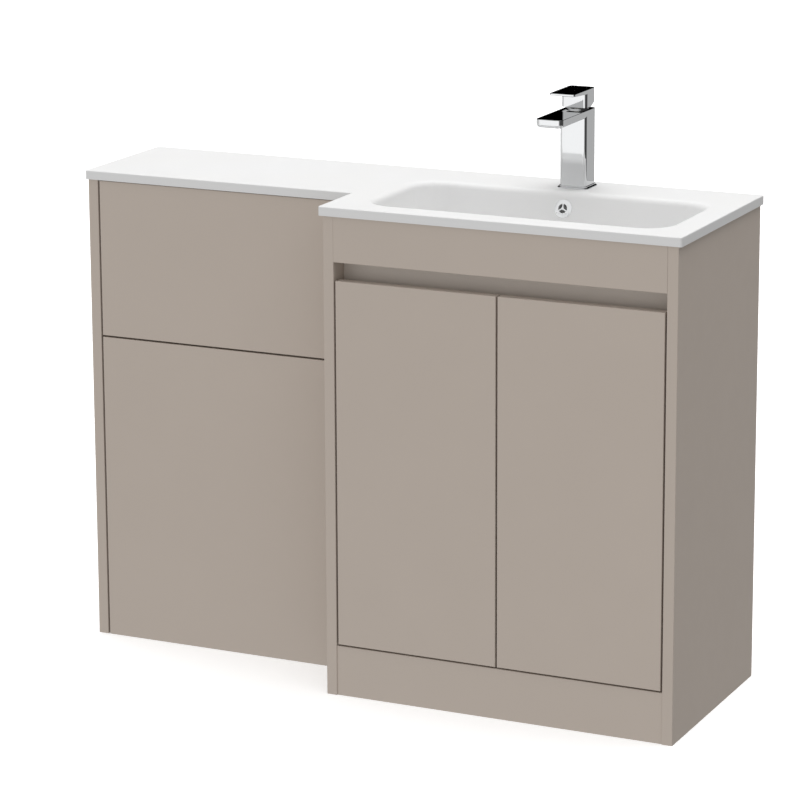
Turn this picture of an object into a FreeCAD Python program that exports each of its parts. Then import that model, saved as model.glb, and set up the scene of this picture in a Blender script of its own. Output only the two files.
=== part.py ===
import FreeCAD, Part
import math
import os
from FreeCAD import Vector

# Modelled with the joint between the two cabinets at x = 0, the wall at y = 0 and the floor
# at z = 0. The front faces -Y. Each piece is moved at export, so that the origin is the middle
# of the whole footprint on the floor. All lengths are millimetres.

# Cabinets
wc_width = 500.0
vanity_width = 600.0
wc_depth = 247.0
vanity_depth = 371.0
carcass_height = 795.0
board = 18.0
panel_gap = 3.0
edge_round = 1.0
rail_height = 80.0

# One-piece basin top
top_thickness = 15.0
top_over_left = 5.0
top_over_right = 5.0
top_over_front = 2.0
top_over_step = 8.0
top_corner = 4.0
top_edge_round = 1.8

# Fits
seat_gap = 0.3
pin_clearance = 0.05
cut_over = 2.0
same_plane = 0.01

wc_left = -wc_width
wc_front = -wc_depth
vanity_front = -vanity_depth
side_inner = board
vanity_mid = vanity_width / 2
top_left = wc_left - top_over_left
top_right = vanity_width + top_over_right
top_front = vanity_front - top_over_front
top_surface = carcass_height + top_thickness
origin_x = (top_left + top_right) / 2
origin_y = top_front / 2

along_x = Vector(1, 0, 0)
along_y = Vector(0, 1, 0)
along_z = Vector(0, 0, 1)
full_turn = 360.0


def box(x0, x1, y0, y1, z0, z1):
    """Block between two opposite corners."""
    return Part.makeBox(x1 - x0, y1 - y0, z1 - z0, Vector(x0, y0, z0))


def rod(radius, start, length, direction):
    """Round bar from a start point."""
    return Part.makeCylinder(radius, length, start, direction)


def tube(outer, inner, start, length, direction):
    """Round tube from a start point."""
    return rod(outer, start, length, direction).cut(rod(inner, start, length, direction))


def fuse_all(shapes):
    """One solid from touching shapes."""
    body = shapes[0].multiFuse(shapes[1:])
    return body.removeSplitter()


def cut_all(body, cutters):
    """A body less several cutters."""
    return body.cut(Part.makeCompound(cutters))


def edges_in_plane(shape, axis, value):
    """Edges that lie whole in the plane where one coordinate has a given value."""
    picked = []
    for edge in shape.Edges:
        low = getattr(edge.BoundBox, axis + "Min")
        high = getattr(edge.BoundBox, axis + "Max")
        if abs(low - value) < same_plane and abs(high - value) < same_plane:
            picked.append(edge)
    return picked


def upright_edges(shape, x=None, y=None):
    """Vertical straight edges at a given x, a given y, or both."""
    picked = []
    for edge in shape.Edges:
        bounds = edge.BoundBox
        straight = bounds.XLength < same_plane and bounds.YLength < same_plane
        at_x = x is None or abs(bounds.XMin - x) < same_plane
        at_y = y is None or abs(bounds.YMin - y) < same_plane
        if straight and at_x and at_y:
            picked.append(edge)
    return picked


def rounded_rectangle(cx, cy, z, half_x, half_y, radius):
    """Closed wire of four lines and four quarter arcs, level at height z."""
    quarter = math.sqrt(0.5)
    corners = [(1, 1), (-1, 1), (-1, -1), (1, -1)]
    arcs = []
    for index, (sx, sy) in enumerate(corners):
        mx = cx + sx * (half_x - radius)
        my = cy + sy * (half_y - radius)
        side = Vector(mx + sx * radius, my, z)
        middle = Vector(mx + sx * radius * quarter, my + sy * radius * quarter, z)
        end = Vector(mx, my + sy * radius, z)
        first, last = (side, end) if index % 2 == 0 else (end, side)
        arcs.append((first, middle, last))
    edges = []
    for index, (first, middle, last) in enumerate(arcs):
        edges.append(Part.Arc(first, middle, last).toShape())
        following = arcs[(index + 1) % len(arcs)][0]
        edges.append(Part.LineSegment(last, following).toShape())
    return Part.Wire(edges)


def rounded_block(cx, cy, half_x, half_y, radius, z0, z1):
    """Upright block with a rounded rectangular plan."""
    face = Part.Face(rounded_rectangle(cx, cy, z0, half_x, half_y, radius))
    return face.extrude(Vector(0, 0, z1 - z0))


def turned(profile, centre, direction):
    """Solid of revolution from (radius, height) points, stood on a centre along a direction."""
    points = [Vector(radius, 0, height) for radius, height in profile]
    face = Part.Face(Part.makePolygon(points + points[:1]))
    solid = face.revolve(Vector(0, 0, 0), along_z, full_turn)
    solid.Placement = FreeCAD.Placement(centre, FreeCAD.Rotation(along_z, direction))
    return solid


def mirrored(shape):
    """The same piece on the other side of the vanity cabinet's middle."""
    return shape.mirror(Vector(vanity_mid, 0, 0), along_x)


def side_panel(x0, depth):
    """Upright board on the floor, its front edges softly rounded."""
    panel = box(x0, x0 + board, -depth, 0, 0, carcass_height)
    return panel.makeFillet(edge_round, upright_edges(panel, y=-depth))


def cross_board(x0, x1, front, z0, z1):
    """Board on edge between two sides, one board thick."""
    return box(x0, x1, front, front + board, z0, z1)


# Vanity cabinet heights: the fascia hangs from the top and the doors fill what is left below it
door_bottom = 87.0
fascia_height = 74.0
recess_height = 30.0
plinth_setback = 2.0
shelf_below_middle = 9.0
shelf_thickness = 15.0
shelf_setback = 45.0
shelf_rear_gap = 40.0

fascia_bottom = carcass_height - fascia_height
door_top = fascia_bottom - recess_height
shelf_height = (door_bottom + door_top) / 2 - shelf_below_middle
plinth_top = door_bottom - panel_gap
base_bottom = plinth_top - board
door_back = vanity_front + board
plinth_back = vanity_front + plinth_setback + board
right_inner = vanity_width - board
rear_rail_bottom = carcass_height - rail_height
rear_rail_foot = plinth_top

# Shelf pins sit in rows of holes
pin_radius = 2.5
pin_depth = 9.0
pin_head_radius = 4.0
pin_head = 8.0
pin_collar = 1.0
pin_pitch = 32.0
pin_rows = 3
pin_from_end = 40.0
shelf_front = vanity_front + board + shelf_setback
shelf_back = -shelf_rear_gap
pin_level = shelf_height - pin_radius
pin_places = [shelf_front + pin_from_end, shelf_back - pin_from_end]


def pin_holes():
    """Rows of shelf holes in the left side."""
    holes = []
    for y in pin_places:
        for row in range(pin_rows):
            z = pin_level + (row - (pin_rows - 1) / 2) * pin_pitch
            start = Vector(side_inner - pin_depth, y, z)
            holes.append(rod(pin_radius + pin_clearance, start, pin_depth + cut_over, along_x))
    return holes


def shelf_pins():
    """Four pins, each half in its hole and half under the shelf."""
    pins = []
    for y in pin_places:
        profile = [(0, 0), (pin_radius, 0), (pin_radius, pin_depth), (pin_head_radius, pin_depth),
                   (pin_head_radius, pin_depth + pin_collar), (pin_radius, pin_depth + pin_collar),
                   (pin_radius, pin_depth + pin_head), (0, pin_depth + pin_head)]
        pin = turned(profile, Vector(side_inner - pin_depth, y, pin_level), along_x)
        pins.append(pin)
        pins.append(mirrored(pin))
    return Part.makeCompound(pins)


def shelf():
    """Loose board on the four pins, notched at each end over the pin collars."""
    body = box(side_inner + seat_gap, right_inner - seat_gap, shelf_front, shelf_back,
               shelf_height, shelf_height + shelf_thickness)
    body = body.makeFillet(edge_round, edges_in_plane(body, "Y", shelf_front))
    notches = []
    for y in pin_places:
        for x in (side_inner, right_inner - pin_collar):
            notches.append(rod(pin_head_radius + seat_gap, Vector(x - seat_gap, y, pin_level),
                               pin_collar + 2 * seat_gap, along_x))
    return cut_all(body, notches)


# Wood screws and cabinet connectors
screw_radius = 2.0
screw_length = 14.0
screw_head_radius = 4.0
screw_head = 2.2
screw_socket_radius = 1.4
screw_socket = 1.2
connector_radius = 3.0
connector_head_radius = 7.0
connector_head = 2.0
connector_drop = 95.0
connector_inset = 80.0
connector_y = [wc_front + connector_inset, -connector_inset]
connector_z = [plinth_top + connector_drop, carcass_height - connector_drop]


def screw(head_seat, inward):
    """Pan head screw whose head stands on a surface and whose shank goes inward."""
    profile = [(0, -screw_length), (screw_radius, -screw_length), (screw_radius, 0),
               (screw_head_radius, 0), (screw_head_radius, screw_head / 2),
               (screw_head_radius - screw_head / 2, screw_head), (screw_socket_radius, screw_head),
               (screw_socket_radius, screw_head - screw_socket), (0, screw_head - screw_socket)]
    return turned(profile, head_seat, inward * -1)


def screw_hole(head_seat, inward):
    """Pilot hole for that screw."""
    return rod(screw_radius + pin_clearance, head_seat - inward * cut_over,
               screw_length + cut_over + pin_clearance, inward)


def connector_hole(y, z):
    """Through hole for a connector across both touching sides."""
    return rod(connector_radius + pin_clearance, Vector(-board - cut_over, y, z),
               2 * (board + cut_over), along_x)


def cabinet_connectors():
    """Sleeve bolts that clamp the two cabinets together, a flat head inside each."""
    bolts = []
    for y in connector_y:
        for z in connector_z:
            reach = 2 * board
            profile = [(0, -connector_head), (connector_head_radius, -connector_head),
                       (connector_head_radius, 0), (connector_radius, 0), (connector_radius, reach),
                       (connector_head_radius, reach), (connector_head_radius, reach + connector_head),
                       (screw_socket_radius, reach + connector_head),
                       (screw_socket_radius, reach), (0, reach)]
            bolts.append(turned(profile, Vector(-board, y, z), along_x))
    return Part.makeCompound(bolts)


# Concealed cup hinges, two to each door
hinge_from_end = 95.0
cup_radius = 17.5
cup_from_edge = 4.0
cup_depth = 12.0
cup_wall = 0.8
cup_flange = 1.2
cup_flange_half_x = 11.0
cup_flange_half_z = 31.0
cup_flange_corner = 6.0
cup_screw_spread = 24.0
hinge_pin_radius = 1.25
cup_pin_from_edge = 11.0
cup_pin_depth = 6.5
arm_pin_inward = 18.0
arm_pin_back = 13.0
link_width = 10.0
link_thickness = 2.2
link_eye_radius = 2.4
link_bend_inward = 10.4
link_bend_forward = 1.2
link_bend_round = 2.4
arm_width = 14.0
arm_thickness = 5.0
arm_eye_radius = 4.0
arm_slot_reach = 6.0
arm_slot_back = 3.4
arm_length = 62.0
plate_setback = 37.0
plate_thickness = 2.5
plate_half_y = 17.0
plate_half_z = 24.0
plate_corner = 5.0
plate_rise = 3.0
plate_screw_spread = 16.0

door_edge = side_inner + panel_gap
door_free_edge = vanity_mid - panel_gap / 2
hinge_levels = [door_bottom + hinge_from_end, door_top - hinge_from_end]
cup_x = door_edge + cup_from_edge + cup_radius
cup_pin = Vector(door_edge + cup_pin_from_edge, door_back - cup_pin_depth, 0)
arm_pin = cup_pin + Vector(arm_pin_inward, arm_pin_back, 0)
plate_y = door_back + plate_setback
arm_x = side_inner + plate_thickness + plate_rise + arm_thickness / 2


def flat_bar(points, bend_round, thickness, width):
    """Flat strip on edge along a bent centre line, its bends rounded."""
    start, corner, end = points
    into = (corner - start).normalize()
    out = (end - corner).normalize()
    half_turn = math.acos(max(-1.0, min(1.0, into.dot(out)))) / 2
    trim = bend_round * math.tan(half_turn)
    first = corner - into * trim
    last = corner + out * trim
    inside = (out - into).normalize()
    middle = corner + inside * (bend_round / math.cos(half_turn) - bend_round)
    path = Part.Wire([Part.LineSegment(start, first).toShape(), Part.Arc(first, middle, last).toShape(),
                      Part.LineSegment(last, end).toShape()])
    across = into.cross(along_z) * (thickness / 2)
    rise = along_z * (width / 2)
    corners = [start + across + rise, start - across + rise, start - across - rise, start + across - rise]
    section = Part.makePolygon(corners + corners[:1])
    return path.makePipeShell([section], True, False)


def hinge_cup(level):
    """Steel cup pressed into the door, with its wings, link pin and two screws."""
    back = Vector(cup_x, door_back, level)
    inner = cup_radius - cup_wall
    outer = cup_radius - pin_clearance
    profile = [(0, -cup_depth), (outer, -cup_depth), (outer, 0), (inner, 0),
               (inner, cup_wall - cup_depth), (0, cup_wall - cup_depth)]
    cup = turned(profile, back, along_y)
    wings = rounded_block(cup_x, 0, cup_flange_half_x, cup_flange_half_z, cup_flange_corner, 0, cup_flange)
    wings.Placement = FreeCAD.Placement(Vector(0, door_back, level), FreeCAD.Rotation(along_x, -90))
    wings = wings.cut(rod(inner, Vector(cup_x, door_back - cut_over, level), 2 * cut_over, along_y))
    half_chord = math.sqrt(inner ** 2 - (cup_x - cup_pin.x) ** 2) + cup_wall / 2
    pin = rod(hinge_pin_radius, cup_pin + Vector(0, 0, level - half_chord), 2 * half_chord, along_z)
    body = fuse_all([cup, wings, pin])
    seats = [back + Vector(0, cup_flange, shift) for shift in (-cup_screw_spread, cup_screw_spread)]
    body = cut_all(body, [screw_hole(seat, along_y * -1) for seat in seats])
    return [body] + [screw(seat, along_y * -1) for seat in seats]


def hinge_link(level):
    """Curved link from the pin in the cup to the pin in the arm."""
    lift = Vector(0, 0, level)
    bend = cup_pin + Vector(link_bend_inward, -link_bend_forward, 0)
    points = [cup_pin + lift, bend + lift, arm_pin + lift]
    strip = flat_bar(points, link_bend_round, link_thickness, link_width)
    foot = Vector(0, 0, level - link_width / 2)
    eyes = [rod(link_eye_radius, pin + foot, link_width, along_z) for pin in (cup_pin, arm_pin)]
    bores = [rod(hinge_pin_radius + pin_clearance, pin + foot - along_z * cut_over,
                 link_width + 2 * cut_over, along_z) for pin in (cup_pin, arm_pin)]
    return cut_all(fuse_all([strip] + eyes), bores)


def hinge_arm(level):
    """Cranked arm that reaches from its plate to the link, forked round the link's eye."""
    lift = Vector(0, 0, level)
    heel = Vector(arm_x, arm_pin.y + arm_length, level)
    knee = Vector(arm_x, arm_pin.y + (arm_pin.x - arm_x), level)
    strip = flat_bar([heel, knee, arm_pin + lift], arm_thickness, arm_thickness, arm_width)
    eye = rod(arm_eye_radius, arm_pin + lift - along_z * (arm_width / 2), arm_width, along_z)
    body = fuse_all([strip, eye])
    half_slot = link_width / 2 + seat_gap
    slot = box(arm_pin.x - arm_slot_reach, arm_pin.x + arm_slot_reach, arm_pin.y - arm_slot_reach,
               arm_pin.y + arm_slot_back, level - half_slot, level + half_slot)
    pin = rod(hinge_pin_radius, arm_pin + lift - along_z * (arm_width / 2), arm_width, along_z)
    return body.cut(slot).fuse(pin).removeSplitter()


def plate_seats(level):
    """Where the two screws of a mounting plate bear."""
    return [Vector(side_inner + plate_thickness, plate_y, level + shift)
            for shift in (-plate_screw_spread, plate_screw_spread)]


def hinge_plate(level):
    """Mounting plate on the cabinet side, with the raised bed that the arm lies on."""
    plate = rounded_block(plate_y, level, plate_half_y, plate_half_z, plate_corner, 0, plate_thickness)
    plate.Placement = FreeCAD.Placement(Vector(side_inner, 0, 0),
                                        FreeCAD.Rotation(along_y, along_z, along_x, "ZXY"))
    bed = box(side_inner, side_inner + plate_thickness + plate_rise, plate_y - plate_half_y,
              plate_y + plate_half_y, level - arm_width / 2, level + arm_width / 2)
    body = fuse_all([plate, bed])
    return cut_all(body, [screw_hole(seat, along_x * -1) for seat in plate_seats(level)])


def both_sides(shapes):
    """A group of pieces with the same group mirrored."""
    return Part.makeCompound(shapes + [mirrored(shape) for shape in shapes])


# Wall brackets inside the back corners, one to each side panel
bracket_from_top = 155.0
bracket_leg = 26.0
bracket_height = 40.0
bracket_thickness = 2.0
bracket_bend = 1.0
bracket_hole_radius = 2.75
bracket_screw_spread = 11.0
bracket_level = carcass_height - bracket_from_top
bracket_hole_offset = bracket_thickness + (bracket_leg - bracket_thickness) / 2


def bracket_seats(inner_face, towards):
    """Where a bracket's two side screws bear."""
    return [Vector(inner_face + towards * bracket_thickness, -bracket_leg / 2 - bracket_thickness,
                   bracket_level + shift) for shift in (-bracket_screw_spread, bracket_screw_spread)]


def wall_bracket(inner_face, towards):
    """Folded steel angle: one leg on the side panel, one leg against the wall."""
    far = inner_face + towards * bracket_leg
    z0 = bracket_level - bracket_height / 2
    z1 = bracket_level + bracket_height / 2
    x0, x1 = sorted((inner_face, far))
    angle = box(x0, x1, -bracket_leg, 0, z0, z1)
    near = inner_face + towards * bracket_thickness
    x2, x3 = sorted((near, far + towards * cut_over))
    angle = angle.cut(box(x2, x3, -bracket_leg - cut_over, -bracket_thickness, z0 - cut_over, z1 + cut_over))
    angle = angle.makeFillet(bracket_bend, upright_edges(angle, x=near, y=-bracket_thickness))
    wall_hole = rod(bracket_hole_radius, Vector(inner_face + towards * bracket_hole_offset,
                    -bracket_thickness - cut_over, bracket_level), bracket_thickness + 2 * cut_over, along_y)
    inward = along_x * -towards
    holes = [screw_hole(seat, inward) for seat in bracket_seats(inner_face, towards)]
    return cut_all(angle, holes + [wall_hole])


bracket_places = [(side_inner, 1), (right_inner, -1), (wc_left + board, 1), (-board, -1)]


def cabinet_screws():
    """The screws of the hinge plates and of the wall brackets."""
    screws = []
    for level in hinge_levels:
        for seat in plate_seats(level):
            one = screw(seat, along_x * -1)
            screws += [one, mirrored(one)]
    for inner_face, towards in bracket_places:
        screws += [screw(seat, along_x * -towards) for seat in bracket_seats(inner_face, towards)]
    return Part.makeCompound(screws)


def side_cuts(inner_face, towards):
    """Screw holes of the wall bracket in one side panel."""
    return [screw_hole(seat, along_x * -towards) for seat in bracket_seats(inner_face, towards)]


def vanity_left_side():
    """Left side, bored for shelf pins, hinge plates, a wall bracket and the connectors."""
    cuts = pin_holes() + side_cuts(side_inner, 1)
    for level in hinge_levels:
        cuts += [screw_hole(seat, along_x * -1) for seat in plate_seats(level)]
    for y in connector_y:
        cuts += [connector_hole(y, z) for z in connector_z]
    return cut_all(side_panel(0, vanity_depth), cuts)


def vanity_right_side():
    """Right side, the mirror of the left without the connector holes."""
    cuts = pin_holes() + side_cuts(side_inner, 1)
    for level in hinge_levels:
        cuts += [screw_hole(seat, along_x * -1) for seat in plate_seats(level)]
    return mirrored(cut_all(side_panel(0, vanity_depth), cuts))


def wc_left_side():
    """Outer side of the WC housing."""
    return cut_all(side_panel(wc_left, wc_depth), side_cuts(wc_left + board, 1))


def wc_right_side():
    """Inner side of the WC housing, against the vanity cabinet."""
    cuts = side_cuts(-board, -1)
    for y in connector_y:
        cuts += [connector_hole(y, z) for z in connector_z]
    return cut_all(side_panel(-board, wc_depth), cuts)


def vanity_base():
    """Cabinet floor between the sides, behind the plinth."""
    return box(side_inner, right_inner, plinth_back, -board, base_bottom, plinth_top)


def vanity_plinth():
    """Plinth board under the doors, set a little back."""
    plinth = cross_board(side_inner, right_inner, vanity_front + plinth_setback, 0, plinth_top)
    top_front_edge = [edge for edge in edges_in_plane(plinth, "Y", vanity_front + plinth_setback)
                      if abs(edge.BoundBox.ZMin - plinth_top) < same_plane]
    return plinth.makeFillet(edge_round, top_front_edge)


def vanity_fascia():
    """Fixed front board under the basin."""
    fascia = cross_board(side_inner, right_inner, vanity_front, fascia_bottom, carcass_height)
    lower_edge = [edge for edge in edges_in_plane(fascia, "Y", vanity_front)
                  if abs(edge.BoundBox.ZMax - fascia_bottom) < same_plane]
    return fascia.makeFillet(edge_round, lower_edge)


# Finger-pull channel between the fascia and the doors
channel_wall = 3.0
channel_depth = 39.0
channel_cove = 8.0
channel_drop = 16.0
channel_tab = 22.0
channel_lip = 24.0
stop_gap = 2.5
relief_length = 24.0


def long_edges(body, y, levels):
    """Straight edges along X at one y and at any of several heights."""
    picked = []
    for level in levels:
        for edge in edges_in_plane(body, "Z", level):
            bounds = edge.BoundBox
            along = bounds.XLength > same_plane and bounds.YLength < same_plane
            if along and abs(bounds.YMin - y) < same_plane:
                picked.append(edge)
    return picked


def handle_channel():
    """Coved channel: tab behind the fascia, recess for the fingers, lip for the doors to stop on."""
    web = vanity_front + channel_depth
    floor = door_top - channel_drop
    lip = door_back + stop_gap
    outline = [(door_back, fascia_bottom + channel_tab), (door_back, fascia_bottom), (web, fascia_bottom),
               (web, floor), (lip, floor), (lip, floor - channel_lip),
               (lip + channel_wall, floor - channel_lip), (lip + channel_wall, floor - channel_wall),
               (web + channel_wall, floor - channel_wall), (web + channel_wall, fascia_bottom + channel_wall),
               (door_back + channel_wall, fascia_bottom + channel_wall),
               (door_back + channel_wall, fascia_bottom + channel_tab)]
    points = [Vector(side_inner, y, z) for y, z in outline]
    face = Part.Face(Part.makePolygon(points + points[:1]))
    body = face.extrude(Vector(right_inner - side_inner, 0, 0))
    body = body.makeFillet(channel_cove, long_edges(body, web, (fascia_bottom, floor)))
    outer_levels = (fascia_bottom + channel_wall, floor - channel_wall)
    body = body.makeFillet(channel_cove + channel_wall, long_edges(body, web + channel_wall, outer_levels))
    # The doors' hinged edges swing in a little way, so the lip stops short of both sides
    relief = box(side_inner, side_inner + relief_length, lip - cut_over, lip + channel_wall,
                 floor - channel_lip - cut_over, floor + cut_over)
    return cut_all(body, [relief, mirrored(relief)])


# Soft buffers that the doors close against
buffer_radius = 4.0
buffer_inset = 20.0
buffer_thickness = stop_gap - seat_gap
buffer_shares = [(0, 0), (1, 0), (1, 0.5), (0.75, 0.85), (0, 1)]


def door_buffers():
    """Clear domes on the channel's lip, one near each door's free edge and one by its hinge."""
    domes = []
    level = door_top - channel_drop - channel_lip / 2
    profile = [(buffer_radius * radial, buffer_thickness * rise) for radial, rise in buffer_shares]
    for x in (cup_x + buffer_inset, door_free_edge - buffer_inset):
        dome = turned(profile, Vector(x, door_back + stop_gap, level), along_y * -1)
        domes += [dome, mirrored(dome)]
    return Part.makeCompound(domes)


def left_door():
    """Inset door with its front edges rounded and its back bored for two cups."""
    door = box(door_edge, door_free_edge, vanity_front, door_back, door_bottom, door_top)
    door = door.makeFillet(edge_round, edges_in_plane(door, "Y", vanity_front))
    cuts = []
    for level in hinge_levels:
        back = Vector(cup_x, door_back, level)
        cuts.append(rod(cup_radius, back - along_y * cup_depth, cup_depth + cut_over, along_y))
        for shift in (-cup_screw_spread, cup_screw_spread):
            cuts.append(screw_hole(back + Vector(0, cup_flange, shift), along_y * -1))
    return cut_all(door, cuts)


# Corner blocks between the plinth and the base
block_size = 22.0
block_length = 30.0
block_from_end = 60.0
block_edge = 5.5


def plinth_blocks():
    """Plastic angle blocks under the base, behind the plinth."""
    blocks = []
    outline = [(0, 0), (block_size, 0), (block_size, -block_edge), (block_edge, -block_size),
               (0, -block_size)]
    points = [Vector(0, plinth_back + y, base_bottom + z) for y, z in outline]
    face = Part.Face(Part.makePolygon(points + points[:1]))
    for x in (side_inner + block_from_end, vanity_mid - block_length / 2,
              right_inner - block_from_end - block_length):
        block = face.extrude(Vector(block_length, 0, 0))
        block.translate(Vector(x, 0, 0))
        blocks.append(block)
    return Part.makeCompound(blocks)


# WC housing front
access_height = 268.0
access_top_gap = 1.0
joint_rail_over = 40.0
clip_inset_x = 60.0
clip_inset_z = 45.0
clip_stem_radius = 3.0
clip_bulb_radius = 4.2
clip_base_radius = 8.0
clip_base = 1.5
clip_reach = 12.0
clip_neck_share = 0.5
clip_bulb_share = 0.7
socket_outer = 7.5
socket_flange = 9.0
socket_length = 14.0
socket_skin = 1.5
panel_screw_length = 30.0
panel_screw_from_end = 20.0

front_left = wc_left + board + panel_gap
front_right = -board - panel_gap
front_back = wc_front + board
panel_joint = carcass_height - access_height
lower_top = panel_joint - panel_gap / 2
upper_bottom = panel_joint + panel_gap / 2
upper_top = carcass_height - access_top_gap
joint_rail_bottom = panel_joint - rail_height / 2
joint_rail_top = panel_joint + rail_height / 2 + joint_rail_over


def wc_rail(front, z0, z1):
    """Rail between the two sides of the WC housing."""
    return cross_board(wc_left + board, -board, front, z0, z1)


def clip_places():
    """The four clip axes behind the access panel, on the joint rail and on the top rail."""
    levels = (joint_rail_top - clip_inset_z / 2, carcass_height - clip_inset_z)
    return [(x, z) for x in (front_left + clip_inset_x, front_right - clip_inset_x) for z in levels]


def front_panel(z0, z1):
    """Flat front panel of the WC housing with rounded front edges."""
    panel = cross_board(front_left, front_right, wc_front, z0, z1)
    return panel.makeFillet(edge_round, edges_in_plane(panel, "Y", wc_front))


def access_panel_studs():
    """Push-in studs on the back of the removable panel."""
    studs = []
    profile = [(0, 0), (clip_base_radius, 0), (clip_base_radius, clip_base - seat_gap),
               (clip_stem_radius, clip_base), (clip_stem_radius, clip_reach * clip_neck_share),
               (clip_bulb_radius, clip_reach * clip_bulb_share), (clip_stem_radius, clip_reach),
               (0, clip_reach)]
    for x, z in clip_places():
        studs.append(turned(profile, Vector(x, front_back, z), along_y))
    return Part.makeCompound(studs)


def access_panel_sockets():
    """Flanged sockets in the rails that take the studs."""
    sockets = []
    mouth = front_back + clip_base + seat_gap
    bore = clip_bulb_radius + seat_gap
    profile = [(bore, 0), (socket_flange, 0), (socket_flange, socket_skin), (socket_outer, socket_skin),
               (socket_outer, socket_length), (0, socket_length), (0, socket_length - socket_skin),
               (bore, socket_length - socket_skin)]
    for x, z in clip_places():
        sockets.append(turned(profile, Vector(x, mouth, z), along_y))
    return Part.makeCompound(sockets)


def socket_holes():
    """Stepped holes in the rails: a wide mouth for stud base and flange, then a close bore."""
    holes = []
    mouth = clip_base + seat_gap + socket_skin
    for x, z in clip_places():
        start = Vector(x, front_back - cut_over, z)
        holes.append(rod(socket_outer + pin_clearance, start, board + 2 * cut_over, along_y))
        holes.append(rod(socket_flange + seat_gap, start, mouth + cut_over, along_y))
    return holes


def lower_panel_seats():
    """Screw seats behind the rails that hold the lower panel."""
    levels = (joint_rail_bottom + panel_screw_from_end, rail_height / 2)
    return [(x, z) for x in (front_left + clip_inset_x, front_right - clip_inset_x) for z in levels]


def lower_panel_screws():
    """Long screws through the rails into the back of the lower panel."""
    screws = []
    profile = [(0, -panel_screw_length), (screw_radius, -panel_screw_length), (screw_radius, 0),
               (screw_head_radius, 0), (screw_head_radius, screw_head / 2),
               (screw_head_radius - screw_head / 2, screw_head), (0, screw_head)]
    for x, z in lower_panel_seats():
        screws.append(turned(profile, Vector(x, front_back + board, z), along_y))
    return Part.makeCompound(screws)


def panel_screw_holes():
    """Holes for those screws, through the rail and into the panel."""
    return [rod(screw_radius + pin_clearance, Vector(x, front_back + board + cut_over, z),
                panel_screw_length + cut_over + pin_clearance, along_y * -1)
            for x, z in lower_panel_seats()]


# Basin bowl, moulded in one piece with the top
bowl_left_rim = 49.0
bowl_right_rim = 43.0
bowl_front_rim = 51.0
bowl_back_edge = 101.0
bowl_corner = 44.0
bowl_floor_corner = 34.0
bowl_depth = 112.0
bowl_draft = 34.0
bowl_wall = 8.0
bowl_rim_round = 12.0
bowl_floor_round = 30.0
drain_dish_share = 1 / 3
drain_dish = 3.0
waste_seat_radius = 33.0
waste_seat = 3.0
waste_hole_radius = 22.5
waste_boss_radius = 33.0
waste_boss = 26.0
overflow_drop = 26.5
overflow_hole_radius = 9.0
duct_width = 40.0
duct_depth = 10.0
duct_wall = 5.0

bowl_length = vanity_width - bowl_left_rim - bowl_right_rim
bowl_width = -top_front - bowl_front_rim - bowl_back_edge
bowl_x = bowl_left_rim + bowl_length / 2
bowl_y = -bowl_back_edge - bowl_width / 2
drain_dish_radius = bowl_width * drain_dish_share
bowl_floor = top_surface - bowl_depth
waste_boss_foot = bowl_floor - bowl_wall - waste_boss
draft_share = bowl_draft / bowl_depth
corner_draft_share = (bowl_corner - bowl_floor_corner) / bowl_depth
overflow_z = top_surface - overflow_drop
overflow_y = -bowl_back_edge - overflow_drop * draft_share
overflow_normal = Vector(0, -1, draft_share).normalize()

# Tap hole
tap_hole_radius = 17.5
tap_setback = 50.0
tap_x = bowl_x
tap_y = -tap_setback


def tapered_bowl(grow, top, depth):
    """Bowl form between a wide upper and a narrower lower rounded rectangle."""
    sections = []
    for z in (top, top - depth):
        below = top_surface - z
        inset = below * draft_share - grow
        corner = bowl_corner + grow - below * corner_draft_share
        sections.append(rounded_rectangle(bowl_x, bowl_y, z, bowl_length / 2 - inset,
                                          bowl_width / 2 - inset, corner))
    body = Part.makeLoft(sections, True, True)
    return body.makeFillet(bowl_floor_round + grow, edges_in_plane(body, "Z", top - depth))


def top_slab():
    """L-shaped slab with softly rounded outer corners and edges."""
    step_x = -top_over_step
    step_y = wc_front - top_over_front
    outline = [(top_left, 0), (top_left, step_y), (step_x, step_y), (step_x, top_front),
               (top_right, top_front), (top_right, 0)]
    points = [Vector(x, y, carcass_height) for x, y in outline]
    slab = Part.Face(Part.makePolygon(points + points[:1])).extrude(Vector(0, 0, top_thickness))
    corners = upright_edges(slab, y=top_front) + upright_edges(slab, x=top_left, y=step_y)
    slab = slab.makeFillet(top_corner, corners)
    rim = [edge for edge in edges_in_plane(slab, "Z", top_surface) if edge.BoundBox.YMin < -same_plane]
    return slab.makeFillet(top_edge_round, rim)


def duct(half_width, wall):
    """Overflow passage: down behind the bowl's rear wall, then forward to the waste hole.

    Grown by a wall it is the passage's casing, and without one it is the passage itself.
    """
    back_inset = bowl_wall + duct_depth + wall
    lower_y = -bowl_back_edge - bowl_depth * draft_share
    low = bowl_floor - bowl_wall
    top = overflow_z + overflow_hole_radius + wall
    foot = low - duct_depth - wall
    knee = foot + bowl_floor_round
    outline = [(overflow_y, top), (overflow_y + back_inset, top), (lower_y + back_inset, knee),
               (lower_y + back_inset - bowl_floor_round, foot), (bowl_y, foot), (bowl_y, low + bowl_wall / 2),
               (lower_y - bowl_floor_round, low + bowl_wall / 2), (lower_y, low + bowl_floor_round)]
    points = [Vector(bowl_x - half_width, y, z) for y, z in outline]
    return Part.Face(Part.makePolygon(points + points[:1])).extrude(Vector(2 * half_width, 0, 0))


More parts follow.
